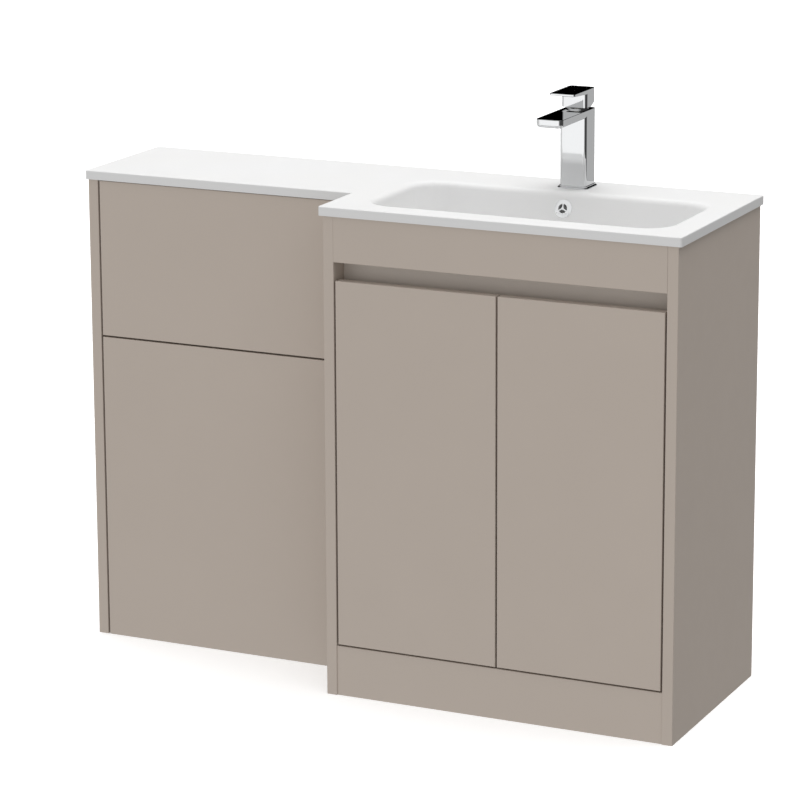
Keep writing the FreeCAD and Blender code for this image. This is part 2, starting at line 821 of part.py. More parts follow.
def basin_top():
    """Slab, bowl, waste boss and cast-in overflow duct as one moulding."""
    outer = tapered_bowl(bowl_wall, carcass_height, bowl_depth - top_thickness + bowl_wall)
    boss = rod(waste_boss_radius, Vector(bowl_x, bowl_y, waste_boss_foot), waste_boss + bowl_wall, along_z)
    passage = duct(duct_width / 2, 0).cut(outer)
    body = fuse_all([top_slab(), outer, boss, duct(duct_width / 2 + duct_wall, duct_wall)])
    inner = tapered_bowl(0, top_surface + cut_over, bowl_depth + cut_over)
    hole = rod(waste_hole_radius, Vector(bowl_x, bowl_y, waste_boss_foot - cut_over),
               waste_boss + 2 * bowl_wall, along_z)
    dish = Part.makeCone(waste_seat_radius, drain_dish_radius, drain_dish,
                         Vector(bowl_x, bowl_y, bowl_floor - drain_dish), along_z)
    seat = rod(waste_seat_radius, Vector(bowl_x, bowl_y, bowl_floor - drain_dish - waste_seat),
               waste_seat + drain_dish, along_z)
    body = body.cut(inner)
    body = body.cut(Part.makeCompound([hole, dish, seat]))
    mouth = Vector(bowl_x, overflow_y, overflow_z) + overflow_normal * bowl_wall
    overflow_hole = rod(overflow_hole_radius, mouth, 2 * bowl_wall + duct_depth, overflow_normal * -1)
    body = body.cut(passage).cut(overflow_hole)
    body = body.makeFillet(bowl_rim_round, rim_edges(body))
    tap_hole = rod(tap_hole_radius, Vector(tap_x, tap_y, carcass_height - cut_over),
                   top_thickness + 2 * cut_over, along_z)
    return body.cut(tap_hole)


def rim_edges(body):
    """Edges where the bowl breaks through the top surface."""
    rim = []
    for edge in edges_in_plane(body, "Z", top_surface):
        bounds = edge.BoundBox
        inside_x = max(bowl_x - bounds.XMin, bounds.XMax - bowl_x) < bowl_length / 2 + same_plane
        inside_y = max(bowl_y - bounds.YMin, bounds.YMax - bowl_y) < bowl_width / 2 + same_plane
        if inside_x and inside_y:
            rim.append(edge)
    return rim


# Overflow cover
cover_radius = 14.8
cover_rim = 0.8
cover_rise = 3.2
cover_barrel = 7.0
cover_barrel_wall = 1.0
cover_opening = 7.6
cover_hub = 2.2
cover_spoke = 2.0
cover_spokes = 3


def domed(radius, rim, rise):
    """Disc with a short straight rim and a domed face, standing on the origin along +Z."""
    crown = Vector(0, 0, rise)
    shoulder = Vector(radius, 0, rim)
    # Halfway out, on the circle through shoulder and crown that is level at the crown
    sphere = (radius ** 2 + (rise - rim) ** 2) / (2 * (rise - rim))
    between = radius / 2
    middle = Vector(between, 0, rise - sphere + math.sqrt(sphere ** 2 - between ** 2))
    edges = [Part.LineSegment(Vector(0, 0, 0), Vector(radius, 0, 0)).toShape(),
             Part.LineSegment(Vector(radius, 0, 0), shoulder).toShape(),
             Part.Arc(shoulder, middle, crown).toShape(),
             Part.LineSegment(crown, Vector(0, 0, 0)).toShape()]
    return Part.Face(Part.Wire(edges)).revolve(Vector(0, 0, 0), along_z, full_turn)


def overflow_cover():
    """Domed ring with three openings round a three-legged hub, on a barrel that clips in the hole."""
    barrel_radius = overflow_hole_radius - pin_clearance
    shell = domed(cover_radius, cover_rim, cover_rise)
    hollow = domed(cover_radius - cover_barrel_wall, cover_rim, cover_rise - cover_barrel_wall)
    hollow.translate(Vector(0, 0, -cover_rim))
    shell = shell.cut(hollow)
    foot = Vector(0, 0, -cover_barrel)
    barrel_length = cover_barrel + cover_rise / 2
    barrel = tube(barrel_radius, barrel_radius - cover_barrel_wall, foot, barrel_length, along_z)
    low = Vector(0, 0, 0)
    opening = rod(cover_opening, low, cover_rise + cut_over, along_z)
    opening = opening.cut(rod(cover_hub, low, cover_rise + cut_over, along_z))
    for index in range(cover_spokes):
        spoke = box(-cover_spoke / 2, cover_spoke / 2, 0, cover_radius, 0, cover_rise + cut_over)
        spoke.rotate(low, along_z, index * full_turn / cover_spokes)
        opening = opening.cut(spoke)
    body = shell.cut(opening).fuse(barrel).removeSplitter()
    body.Placement = FreeCAD.Placement(Vector(bowl_x, overflow_y, overflow_z),
                                       FreeCAD.Rotation(along_x, along_y, overflow_normal, "ZXY"))
    return body


# Click waste
flange_radius = 32.5
flange_rim = 1.0
flange_dish = 2.4
tail_radius = 20.9
tail_wall = 2.6
tail_length = 70.0
tail_slot_width = 12.0
tail_slot_height = 9.0
spider_drop = 26.0
spider_height = 9.0
spider_web = 3.0
spider_hub = 9.0
plug_cap_radius = 30.5
plug_cap_rim = 2.0
plug_cap_rise = 5.0
plug_stem_radius = 5.0
plug_stem = 44.0
plug_travel = 7.0
plug_seal = 3.0
washer_thickness = 3.0
washer_radius = 31.0
backnut_radius = 30.0
backnut_height = 8.0
hexagon_sides = 6

waste_top = bowl_floor - drain_dish - waste_seat
flange_top = waste_top + flange_dish
tail_foot = waste_top - tail_length
washer_top = waste_boss_foot
backnut_top = washer_top - washer_thickness


def hexagon(corner_radius, z0, height, x, y):
    """Upright six-sided bar."""
    turns = [2 * math.pi * side / hexagon_sides for side in range(hexagon_sides)]
    corners = [Vector(x + corner_radius * math.cos(turn), y + corner_radius * math.sin(turn), z0)
               for turn in turns]
    return Part.Face(Part.makePolygon(corners + corners[:1])).extrude(Vector(0, 0, height))


def ring(outer, inner, z0, height, x, y):
    """Flat upright ring."""
    return tube(outer, inner, Vector(x, y, z0), height, along_z)


def waste_body():
    """Flange and slotted tail, with the spider that guides the plug's stem."""
    inner = tail_radius - tail_wall
    profile = [(inner, -tail_length), (tail_radius, -tail_length), (tail_radius, 0), (flange_radius, 0),
               (flange_radius, flange_rim), (inner, flange_dish)]
    body = turned(profile, Vector(bowl_x, bowl_y, waste_top), along_z)
    spider_top = waste_top - spider_drop
    webs = [box(bowl_x - inner - tail_wall / 2, bowl_x + inner + tail_wall / 2, bowl_y - spider_web / 2,
                bowl_y + spider_web / 2, spider_top - spider_height, spider_top),
            box(bowl_x - spider_web / 2, bowl_x + spider_web / 2, bowl_y - inner - tail_wall / 2,
                bowl_y + inner + tail_wall / 2, spider_top - spider_height, spider_top),
            rod(spider_hub, Vector(bowl_x, bowl_y, spider_top - spider_height), spider_height, along_z)]
    body = fuse_all([body] + webs)
    stem_bore = rod(plug_stem_radius + pin_clearance, Vector(bowl_x, bowl_y, tail_foot), tail_length,
                    along_z)
    slot_top = bowl_floor - bowl_wall
    slot = box(bowl_x - tail_slot_width / 2, bowl_x + tail_slot_width / 2, bowl_y - tail_radius - cut_over,
               bowl_y + tail_radius + cut_over, slot_top - tail_slot_height, slot_top)
    slot = slot.cut(rod(inner, Vector(bowl_x, bowl_y, slot_top - tail_slot_height), tail_slot_height,
                        along_z))
    return cut_all(body, [stem_bore, slot])


def waste_plug():
    """Domed cap on a stem, drawn raised: pressing it lowers the cap onto the flange."""
    cap_foot = flange_top + plug_travel + seat_gap
    cap = domed(plug_cap_radius, plug_cap_rim, plug_cap_rise)
    cap.translate(Vector(bowl_x, bowl_y, cap_foot))
    stem = rod(plug_stem_radius, Vector(bowl_x, bowl_y, cap_foot - plug_stem), plug_stem, along_z)
    seal_radius = tail_radius - tail_wall - seat_gap
    seal = ring(seal_radius, plug_stem_radius, cap_foot - plug_seal, plug_seal, bowl_x, bowl_y)
    return fuse_all([cap, stem, seal])


def waste_washer():
    """Rubber washer under the waste boss."""
    return ring(washer_radius, tail_radius + pin_clearance, washer_top - washer_thickness, washer_thickness,
                bowl_x, bowl_y)


def waste_backnut():
    """Backnut that draws the waste down."""
    nut = hexagon(backnut_radius, backnut_top - backnut_height, backnut_height, bowl_x, bowl_y)
    start = Vector(bowl_x, bowl_y, backnut_top - backnut_height - cut_over)
    return nut.cut(rod(tail_radius + pin_clearance, start, backnut_height + 2 * cut_over, along_z))


# Bottle trap
trap_wall = 2.4
trap_nut_height = 24.0
trap_nut_wall = 4.0
trap_nut_grips = 12
trap_nut_grip = 1.5
trap_neck = 26.0
trap_head_radius = 33.0
trap_head = 44.0
trap_cup_radius = 30.0
trap_cup_height = 72.0
trap_collar = 14.0
trap_round = 4.0
trap_dip_radius = 15.0
trap_dip = 46.0
trap_branch = 62.0
pipe_radius = 18.0
pipe_wall = 2.0
pipe_insert = 24.0
pipe_wall_clearance = 32.0
pipe_spigot = 40.0
pipe_bead = 3.0
pipe_bead_radius = 20.0
outlet_nut_overlap = 12.0

trap_neck_top = tail_foot
trap_head_top = trap_neck_top - trap_neck
trap_head_foot = trap_head_top - trap_head
branch_z = trap_head_top - trap_head / 2
branch_end = bowl_y + trap_branch


def grip_nut(bore, outer, height, cap_bore):
    """Ribbed plastic nut open at its foot, standing on the origin along +Z."""
    body = rod(outer, Vector(0, 0, 0), height, along_z)
    ribs = []
    for index in range(trap_nut_grips):
        angle = 2 * math.pi * index / trap_nut_grips
        foot = Vector(outer * math.cos(angle), outer * math.sin(angle), 0)
        ribs.append(rod(trap_nut_grip, foot, height, along_z))
    body = fuse_all([body] + ribs)
    body = body.cut(rod(bore, Vector(0, 0, -cut_over), height - trap_nut_wall + cut_over, along_z))
    return body.cut(rod(cap_bore, Vector(0, 0, 0), height + cut_over, along_z))


def trap_inlet_nut():
    """Nut that joins the waste's tail to the trap."""
    nut = grip_nut(tail_radius + seat_gap, tail_radius + trap_nut_wall, trap_nut_height,
                   tail_radius + pin_clearance)
    nut.translate(Vector(bowl_x, bowl_y, trap_neck_top - trap_nut_height / 2))
    return nut


def trap_body():
    """Head of the trap with its neck, dip tube and side branch."""
    neck = rod(tail_radius, Vector(bowl_x, bowl_y, trap_head_top), trap_neck, along_z)
    head = rod(trap_head_radius, Vector(bowl_x, bowl_y, trap_head_foot), trap_head, along_z)
    head = head.makeFillet(trap_round, edges_in_plane(head, "Z", trap_head_top))
    branch = rod(pipe_radius + trap_wall, Vector(bowl_x, bowl_y, branch_z), trap_branch, along_y)
    dip = rod(trap_dip_radius + trap_wall, Vector(bowl_x, bowl_y, trap_head_foot - trap_dip), trap_dip,
              along_z)
    chamber = rod(trap_head_radius - trap_wall, Vector(bowl_x, bowl_y, trap_head_foot - cut_over),
                  trap_head + cut_over - trap_wall, along_z)
    chamber = chamber.cut(rod(trap_dip_radius + trap_wall, Vector(bowl_x, bowl_y, trap_head_foot - cut_over),
                              trap_head + cut_over, along_z))
    way_in = rod(trap_dip_radius, Vector(bowl_x, bowl_y, trap_head_foot - trap_dip - cut_over),
                 trap_dip + trap_head + trap_neck + 2 * cut_over, along_z)
    way_out = rod(pipe_radius, Vector(bowl_x, bowl_y + trap_dip_radius + trap_wall, branch_z),
                  trap_branch, along_y)
    return cut_all(fuse_all([neck, head, branch, dip]), [chamber, way_in, way_out])


def trap_cup():
    """Cup that screws on under the head and holds the water seal."""
    top = trap_head_foot
    radius = trap_cup_radius
    outer = rod(radius, Vector(bowl_x, bowl_y, top - trap_cup_height), trap_cup_height, along_z)
    outer = outer.makeFillet(trap_round, edges_in_plane(outer, "Z", top - trap_cup_height))
    collar = rod(trap_head_radius, Vector(bowl_x, bowl_y, top - trap_collar), trap_collar, along_z)
    inner = rod(radius - trap_wall, Vector(bowl_x, bowl_y, top - trap_cup_height + trap_wall),
                trap_cup_height, along_z)
    return fuse_all([outer, collar]).cut(inner)


def trap_outlet_nut():
    """Nut that holds the outlet pipe in the branch."""
    thread = pipe_radius + trap_wall
    nut = grip_nut(thread + seat_gap, thread + trap_nut_wall, trap_nut_height, pipe_radius + pin_clearance)
    nut.Placement = FreeCAD.Placement(Vector(bowl_x, branch_end - outlet_nut_overlap, branch_z),
                                      FreeCAD.Rotation(along_z, along_y))
    return nut


def trap_outlet_pipe():
    """Straight pipe from the branch towards the wall, with a bead that stops the drain's socket."""
    start = branch_end - pipe_insert
    length = -pipe_wall_clearance - start
    outer = pipe_radius - pin_clearance
    bead = length - pipe_spigot
    inner = pipe_radius - pipe_wall
    profile = [(inner, 0), (outer, 0), (outer, bead - pipe_bead), (pipe_bead_radius, bead - pipe_bead),
               (pipe_bead_radius, bead), (outer, bead), (outer, length), (inner, length)]
    return turned(profile, Vector(bowl_x, start, branch_z), along_y)


# Single-lever tap
tap_half_x = 23.0
tap_half_y = 22.0
tap_corner = 6.0
tap_base_over = 4.0
tap_base_height = 4.2
tap_base_step = 2.2
tap_base_upper_over = 1.2
tap_base_corner = 9.0
tap_base_upper_corner = 7.0
tap_base_round = 1.2
tap_base_bore = 14.5
tap_height = 128.5
spout_front = 175.5
spout_thickness = 13.8
spout_corner = 10.5
spout_under_round = 6.0
tap_edge_round = 0.8
cartridge_radius = 17.4
cartridge_height = 40.0
cartridge_drop = 5.5
rotor_radius = 11.5
rotor_height = 26.0
stem_half_x = 4.0
stem_half_y = 5.0
stem_length = 27.5
stem_in_lever = 16.0
stem_room = 3.6
cover_ring_radius = 19.0
cover_ring_bore = 13.0
cover_ring = 1.8
lever_half_x = 22.0
lever_back = 28.0
lever_front = 119.0
lever_top_rise = 33.2
lever_front_thickness = 3.7
lever_root_thickness = 7.0
lever_block_front = 68.5
lever_lift_gap = 4.0
lever_heel_from_axis = 2.0
lever_heel_rise = 8.5
lever_corner = 6.5
lever_tip_corner = 4.0
lever_edge_round = 0.5
lever_under_round = 1.0
grub_radius = 2.5
grub_length = 8.0
grub_rise = 11.2
aerator_radius = 10.8
aerator_setback = 19.0
aerator_recess = 1.0
aerator_height = 8.0
aerator_ring = 2.0
waterway_radius = 4.0
inlet_radius = 4.5
inlet_depth = 14.0
inlet_spread = 8.5
inlet_back = 4.0
stud_radius = 4.0
stud_forward = 10.0
stud_in_body = 16.0
stud_below = 40.0
clamp_radius = 22.0
clamp_thickness = 2.5
clamp_gasket = 3.0
clamp_slot_half = 14.0
clamp_slot_front = 3.0
fixing_nut_radius = 7.5
fixing_nut_height = 8.0

tap_foot = top_surface + tap_base_height
tap_top = top_surface + tap_height
cartridge_top = tap_top - cartridge_drop
cartridge_foot = cartridge_top - cartridge_height
lever_foot = tap_top + lever_lift_gap
rotor_top = cartridge_top + cartridge_drop / 2
aerator_y = -spout_front + aerator_setback
spout_foot = tap_top - spout_thickness


def tap_body():
    """Square column and flat spout in one casting, bored for cartridge, waterway, aerator and inlets."""
    column = rounded_block(tap_x, tap_y, tap_half_x, tap_half_y, tap_corner, tap_foot, tap_top)
    spout = box(tap_x - tap_half_x, tap_x + tap_half_x, -spout_front, tap_y, spout_foot, tap_top)
    spout = spout.makeFillet(spout_corner, upright_edges(spout, y=-spout_front))
    under = [edge for edge in edges_in_plane(spout, "Z", spout_foot)
             if edge.BoundBox.YMin < tap_y - same_plane]
    spout = spout.makeFillet(spout_under_round, under)
    body = fuse_all([column, spout])
    body = body.makeFillet(tap_edge_round, edges_in_plane(body, "Z", tap_top))
    chamber = rod(cartridge_radius + pin_clearance, Vector(tap_x, tap_y, cartridge_foot),
                  cartridge_height + cartridge_drop + cut_over, along_z)
    waterway_z = spout_foot + spout_thickness / 2
    waterway = rod(waterway_radius, Vector(tap_x, aerator_y, waterway_z), tap_y - aerator_y, along_y)
    nozzle = rod(aerator_radius + pin_clearance, Vector(tap_x, aerator_y, spout_foot - cut_over),
                 aerator_height + cut_over, along_z)
    cuts = [chamber, waterway, nozzle]
    for side in (-1, 1):
        mouth = Vector(tap_x + side * inlet_spread, tap_y + inlet_back, tap_foot - cut_over)
        cuts.append(rod(inlet_radius, mouth, inlet_depth + cut_over, along_z))
    cuts.append(rod(stud_radius, Vector(tap_x, tap_y - stud_forward, tap_foot - cut_over),
                    stud_in_body + cut_over, along_z))
    return cut_all(body, cuts)


def tap_base_ring():
    """Two-step flange between the tap and the basin top."""
    step = top_surface + tap_base_step
    lower = rounded_block(tap_x, tap_y, tap_half_x + tap_base_over, tap_half_y + tap_base_over,
                          tap_base_corner, top_surface, step)
    lower = lower.makeFillet(tap_base_round, edges_in_plane(lower, "Z", step))
    upper = rounded_block(tap_x, tap_y, tap_half_x + tap_base_upper_over, tap_half_y + tap_base_upper_over,
                          tap_base_upper_corner, step, tap_foot)
    return fuse_all([lower, upper]).cut(rod(tap_base_bore, Vector(tap_x, tap_y, top_surface - cut_over),
                         tap_base_height + 2 * cut_over, along_z))


def tap_cartridge():
    """Ceramic-disc cartridge body, open at the top for its rotor."""
    body = rod(cartridge_radius, Vector(tap_x, tap_y, cartridge_foot), cartridge_height, along_z)
    well = rod(rotor_radius + seat_gap, Vector(tap_x, tap_y, rotor_top - rotor_height - seat_gap),
               rotor_height + cut_over, along_z)
    return body.cut(well)


def cartridge_nut():
    """Threaded ring that holds the cartridge down, flush with the tap's top."""
    return ring(cartridge_radius, rotor_radius + seat_gap, cartridge_top, cartridge_drop, tap_x, tap_y)


def cartridge_cover():
    """Thin bright ring on the tap's top, seen in the gap below the lever."""
    return ring(cover_ring_radius, cover_ring_bore, tap_top, cover_ring, tap_x, tap_y)


def lever_rotor():
    """Turning part of the cartridge, slotted for the lever's stem to rock in."""
    body = rod(rotor_radius, Vector(tap_x, tap_y, rotor_top - rotor_height), rotor_height, along_z)
    half_x = stem_half_x + seat_gap
    half_y = stem_half_y + stem_room
    slot = box(tap_x - half_x, tap_x + half_x, tap_y - half_y, tap_y + half_y,
               rotor_top - rotor_height + stem_room / 2, rotor_top + cut_over)
    return body.cut(slot)


def side_extrusion(outline, half_width):
    """Solid with a side outline of (y, z) points, as wide to the left as to the right of the tap's middle."""
    points = [Vector(tap_x - half_width, y, z) for y, z in outline]
    return Part.Face(Part.makePolygon(points + points[:1])).extrude(Vector(2 * half_width, 0, 0))


def tap_lever():
    """Flat lever plate that grows out of a square block, socketed for the stem."""
    top = tap_top + lever_top_rise
    under = top - lever_root_thickness
    middle = -(lever_block_front + lever_back) / 2
    block = rounded_block(tap_x, middle, lever_half_x, (lever_block_front - lever_back) / 2,
                          lever_corner, lever_foot, top)
    plate = side_extrusion([(middle, top), (-lever_front, top), (-lever_front, top - lever_front_thickness),
                            (-lever_block_front, under), (middle, under)], lever_half_x)
    plate = plate.makeFillet(lever_tip_corner, upright_edges(plate, y=-lever_front))
    # The heel slopes up from just behind the axis, so that the lever can rock back
    heel_start = tap_y + lever_heel_from_axis
    heel_end = -lever_back + cut_over
    heel_top = lever_foot + lever_heel_rise * (heel_end - heel_start) / (-lever_back - heel_start)
    heel = side_extrusion([(heel_start, lever_foot), (heel_end, lever_foot), (heel_end, heel_top)],
                          2 * lever_half_x)
    body = fuse_all([block, plate]).cut(heel)
    body = body.makeFillet(lever_edge_round, edges_in_plane(body, "Z", top))
    body = body.makeFillet(lever_under_round, under_edges(body))
    socket_x = stem_half_x + pin_clearance
    socket_y = stem_half_y + pin_clearance
    socket = box(tap_x - socket_x, tap_x + socket_x, tap_y - socket_y, tap_y + socket_y,
                 lever_foot - cut_over, lever_foot + stem_in_lever + seat_gap)
    grub_hole = rod(grub_radius, Vector(tap_x, tap_y, lever_foot + grub_rise), -tap_y, along_y)
    return body.cut(socket).cut(grub_hole)


def under_edges(body):
    """Long lower edges of the lever's plate, to the left and right of its sloping underside."""
    found = []
    for edge in body.Edges:
        bounds = edge.BoundBox
        at_side = abs(abs(bounds.Center.x - tap_x) - lever_half_x) < same_plane
        along = bounds.YLength > (lever_front - lever_block_front) / 2
        before_block = bounds.YMax < -lever_block_front + same_plane
        if at_side and along and before_block and bounds.ZLength > same_plane:
            found.append(edge)
    return found


def lever_stem():
    """Square stem of the cartridge: the lever is clamped on its top and rocks it in the rotor."""
    return box(tap_x - stem_half_x, tap_x + stem_half_x, tap_y - stem_half_y, tap_y + stem_half_y,
               lever_foot - stem_length, lever_foot + stem_in_lever)


def lever_grub_screw():
    """Grub screw behind the lever's block, tight on the stem."""
    seat = Vector(tap_x, tap_y + stem_half_y + grub_length, lever_foot + grub_rise)
    body = rod(grub_radius - pin_clearance, seat, grub_length, along_y * -1)
    key = hexagon(grub_radius / 2, -cut_over, grub_length / 2 + cut_over, 0, 0)
    key.Placement = FreeCAD.Placement(seat, FreeCAD.Rotation(along_z, along_y * -1))
    return body.cut(key)


def tap_aerator():
    """Aerator ring with its mesh disc, screwed up into the spout."""
    foot = spout_foot + aerator_recess
    body = rod(aerator_radius, Vector(tap_x, aerator_y, foot), aerator_height - aerator_recess, along_z)
    return body.cut(rod(aerator_radius - aerator_ring, Vector(tap_x, aerator_y, foot - cut_over),
                        aerator_height / 2 + cut_over, along_z))


def tap_stud():
    """Stud that hangs from the tap through the basin top."""
    return rod(stud_radius - pin_clearance, Vector(tap_x, tap_y - stud_forward, carcass_height - stud_below),
               stud_below + top_thickness + tap_base_height + stud_in_body, along_z)


def horseshoe(z0, thickness):
    """Round plate slotted at the back for the supply connections, holed for the stud."""
    plate = rod(clamp_radius, Vector(tap_x, tap_y, z0), thickness, along_z)
    foot = z0 - cut_over
    height = thickness + 2 * cut_over
    slot = box(tap_x - clamp_slot_half, tap_x + clamp_slot_half, tap_y - clamp_slot_front,
               tap_y + clamp_radius, foot, foot + height)
    hole = rod(stud_radius, Vector(tap_x, tap_y - stud_forward, foot), height, along_z)
    return plate.cut(slot).cut(hole)


def tap_clamp_gasket():
    """Rubber horseshoe against the underside of the basin top."""
    return horseshoe(carcass_height - clamp_gasket, clamp_gasket)


def tap_clamp_plate():
    """Steel horseshoe under the rubber one."""
    return horseshoe(carcass_height - clamp_gasket - clamp_thickness, clamp_thickness)


def tap_fixing_nut():
    """Nut on the stud, under the steel horseshoe."""
    z0 = carcass_height - clamp_gasket - clamp_thickness - fixing_nut_height
    nut = hexagon(fixing_nut_radius, z0, fixing_nut_height, tap_x, tap_y - stud_forward)
    return nut.cut(rod(stud_radius, Vector(tap_x, tap_y - stud_forward, z0 - cut_over),
                       fixing_nut_height + 2 * cut_over, along_z))


def save(name, shape):
    """Write one node, moved so that the footprint's middle is the origin."""
    moved = shape.copy()
    moved.translate(Vector(-origin_x, -origin_y, 0))
    moved.exportStep("parts/" + name + ".step")


def hinge_group(make):
    """One hinge piece at each level."""
    pieces = []
    for level in hinge_levels:
        made = make(level)
        pieces += made if isinstance(made, list) else [made]
    return pieces


def nodes():
    """Every node of the unit, by name."""
    cups = hinge_group(hinge_cup)
    links = hinge_group(hinge_link)
    door = left_door()
    return {
        "wc_left_side": wc_left_side(),
        "wc_right_side": wc_right_side(),
        "wc_lower_panel": cut_all(front_panel(0, lower_top), panel_screw_holes()),
        "wc_access_panel": front_panel(upper_bottom, upper_top),
        "wc_joint_rail": cut_all(wc_rail(front_back, joint_rail_bottom, joint_rail_top),
                                 panel_screw_holes() + socket_holes()),
        "wc_top_rail": cut_all(wc_rail(front_back, rear_rail_bottom, carcass_height), socket_holes()),
        "wc_foot_rail": cut_all(wc_rail(front_back, 0, rail_height), panel_screw_holes()),
        "wc_rear_top_rail": wc_rail(-board, rear_rail_bottom, carcass_height),
        "wc_rear_foot_rail": wc_rail(-board, rear_rail_foot, rear_rail_foot + rail_height),
        "lower_panel_screws": lower_panel_screws(),
        "access_panel_studs": access_panel_studs(),
        "access_panel_sockets": access_panel_sockets(),
        "vanity_left_side": vanity_left_side(),
        "vanity_right_side": vanity_right_side(),
        "vanity_base": vanity_base(),
        "vanity_plinth": vanity_plinth(),
        "plinth_blocks": plinth_blocks(),
        "vanity_fascia": vanity_fascia(),
        "handle_channel": handle_channel(),
        "vanity_rear_top_rail": cross_board(side_inner, right_inner, -board, rear_rail_bottom,
                                            carcass_height),
        "vanity_rear_foot_rail": cross_board(side_inner, right_inner, -board, rear_rail_foot,
                                             rear_rail_foot + rail_height),
        "shelf": shelf(),
        "shelf_pins": shelf_pins(),
        "left_door": door,
        "right_door": mirrored(door),
        "left_hinge_cups": Part.makeCompound(cups),
        "right_hinge_cups": Part.makeCompound([mirrored(cup) for cup in cups]),
        "left_hinge_links": Part.makeCompound(links),
        "right_hinge_links": Part.makeCompound([mirrored(link) for link in links]),
        "hinge_arms": both_sides(hinge_group(hinge_arm)),
        "hinge_plates": both_sides(hinge_group(hinge_plate)),
        "cabinet_screws": cabinet_screws(),
        "door_buffers": door_buffers(),
        "wall_brackets": Part.makeCompound([wall_bracket(*place) for place in bracket_places]),
        "cabinet_connectors": cabinet_connectors(),
        "basin_top": basin_top(),
        "overflow_cover": overflow_cover(),
        "waste_body": waste_body(),
        "waste_plug": waste_plug(),
        "waste_washer": waste_washer(),
        "waste_backnut": waste_backnut(),
        "trap_inlet_nut": trap_inlet_nut(),
        "trap_body": trap_body(),
        "trap_cup": trap_cup(),
        "trap_outlet_nut": trap_outlet_nut(),
        "trap_outlet_pipe": trap_outlet_pipe(),
        "tap_body": tap_body(),
        "tap_base_ring": tap_base_ring(),
        "tap_cartridge": tap_cartridge(),
        "cartridge_nut": cartridge_nut(),
        "cartridge_cover": cartridge_cover(),
        "lever_rotor": lever_rotor(),
        "lever_stem": lever_stem(),
        "tap_lever": tap_lever(),
        "lever_grub_screw": lever_grub_screw(),
        "tap_aerator": tap_aerator(),
        "tap_stud": tap_stud(),
        "tap_clamp_gasket": tap_clamp_gasket(),
        "tap_clamp_plate": tap_clamp_plate(),
        "tap_fixing_nut": tap_fixing_nut(),
    }


os.makedirs("parts", exist_ok=True)
for name, shape in nodes().items():
    save(name, shape)
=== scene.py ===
import math

import bpy
import numpy as np
from mathutils import Matrix, Vector


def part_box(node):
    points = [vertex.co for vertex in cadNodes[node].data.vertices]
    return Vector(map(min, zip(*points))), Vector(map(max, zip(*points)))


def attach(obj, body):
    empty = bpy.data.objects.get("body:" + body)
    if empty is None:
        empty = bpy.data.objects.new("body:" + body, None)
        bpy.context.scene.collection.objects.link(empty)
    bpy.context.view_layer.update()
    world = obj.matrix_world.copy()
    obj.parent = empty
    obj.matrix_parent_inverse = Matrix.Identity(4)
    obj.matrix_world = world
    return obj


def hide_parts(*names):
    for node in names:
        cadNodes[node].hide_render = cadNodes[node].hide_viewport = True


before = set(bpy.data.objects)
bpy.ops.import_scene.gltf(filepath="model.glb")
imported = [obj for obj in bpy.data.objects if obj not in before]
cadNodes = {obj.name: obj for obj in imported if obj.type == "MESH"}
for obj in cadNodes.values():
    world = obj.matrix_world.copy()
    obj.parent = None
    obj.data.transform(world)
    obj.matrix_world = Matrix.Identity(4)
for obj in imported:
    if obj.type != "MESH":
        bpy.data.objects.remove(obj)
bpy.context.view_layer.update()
mm = 0.001
fullTurn = 2 * math.pi
print("frame loaded")


def linear(hexColour, share=1.0):
    # sRGB hex to linear RGBA, times a share
    channels = [int(hexColour[i:i + 2], 16) / 255 for i in (1, 3, 5)]
    decoded = [c / 12.92 if c <= 0.04045 else ((c + 0.055) / 1.055) ** 2.4 for c in channels]
    return [c * share for c in decoded] + [1.0]


def addNode(tree, kind, inputs=None, **settings):
    # One node with its settings; an input is a value, a socket, or a node whose first output it takes
    node = tree.nodes.new("ShaderNode" + kind)
    for key, value in settings.items():
        setattr(node, key, value)
    for socket, value in (inputs or {}).items():
        if isinstance(value, bpy.types.Node):
            value = value.outputs[0]
        if isinstance(value, bpy.types.NodeSocket):
            tree.links.new(value, node.inputs[socket])
        else:
            node.inputs[socket].default_value = value
    return node


def newMaterial(name):
    # An empty material, with the place and the facing of a point on the piece
    material = bpy.data.materials.new(name)
    material.use_nodes = True
    tree = material.node_tree
    tree.nodes.clear()
    coords = addNode(tree, "TexCoord")
    return material, tree, coords.outputs["Object"], coords.outputs["Normal"]


def finishMaterial(tree, inputs):
    # One shader with these inputs, on the material's output
    shader = addNode(tree, "BsdfPrincipled", inputs)
    addNode(tree, "OutputMaterial", {"Surface": shader})


# Most of a noise lies in this range, which a Map Range node takes as its inputs 1 and 2
noiseRange = {1: 0.3, 2: 0.7}


# Satin lacquer sprayed on board: an even warm greige with faint clouds and a trace of orange peel.
# Sizes in mm: clouds in the colour, patches in the gloss, grain of the peel and its depth.
lacquerLook = {"colour": "#c4b8ad", "darkest": 0.985, "rough": (0.43, 0.48), "clouds": 110.0, "patches": 25.0,
               "peel": 1.4, "peelDepth": 0.01, "ior": 1.46, "specular": 0.276}
# The handle channel is a sprayed profile, glossier, and painted a little paler than the fronts: painted light
# that lifts the shade in its recess
channelPaintedLightLook = {**lacquerLook, "colour": "#cdc4bb", "rough": (0.32, 0.37), "peelDepth": 0.006}
# Edges that nobody sees are bare chipboard: matt flakes from pale straw to brown, their size in mm.
# A side counts as facing a direction from this cosine up.
chipboardLook = {"dark": "#7d6142", "pale": "#cfb58c", "roughness": 0.85, "flake": 2.4, "relief": 6.0,
                 "facing": 0.9}


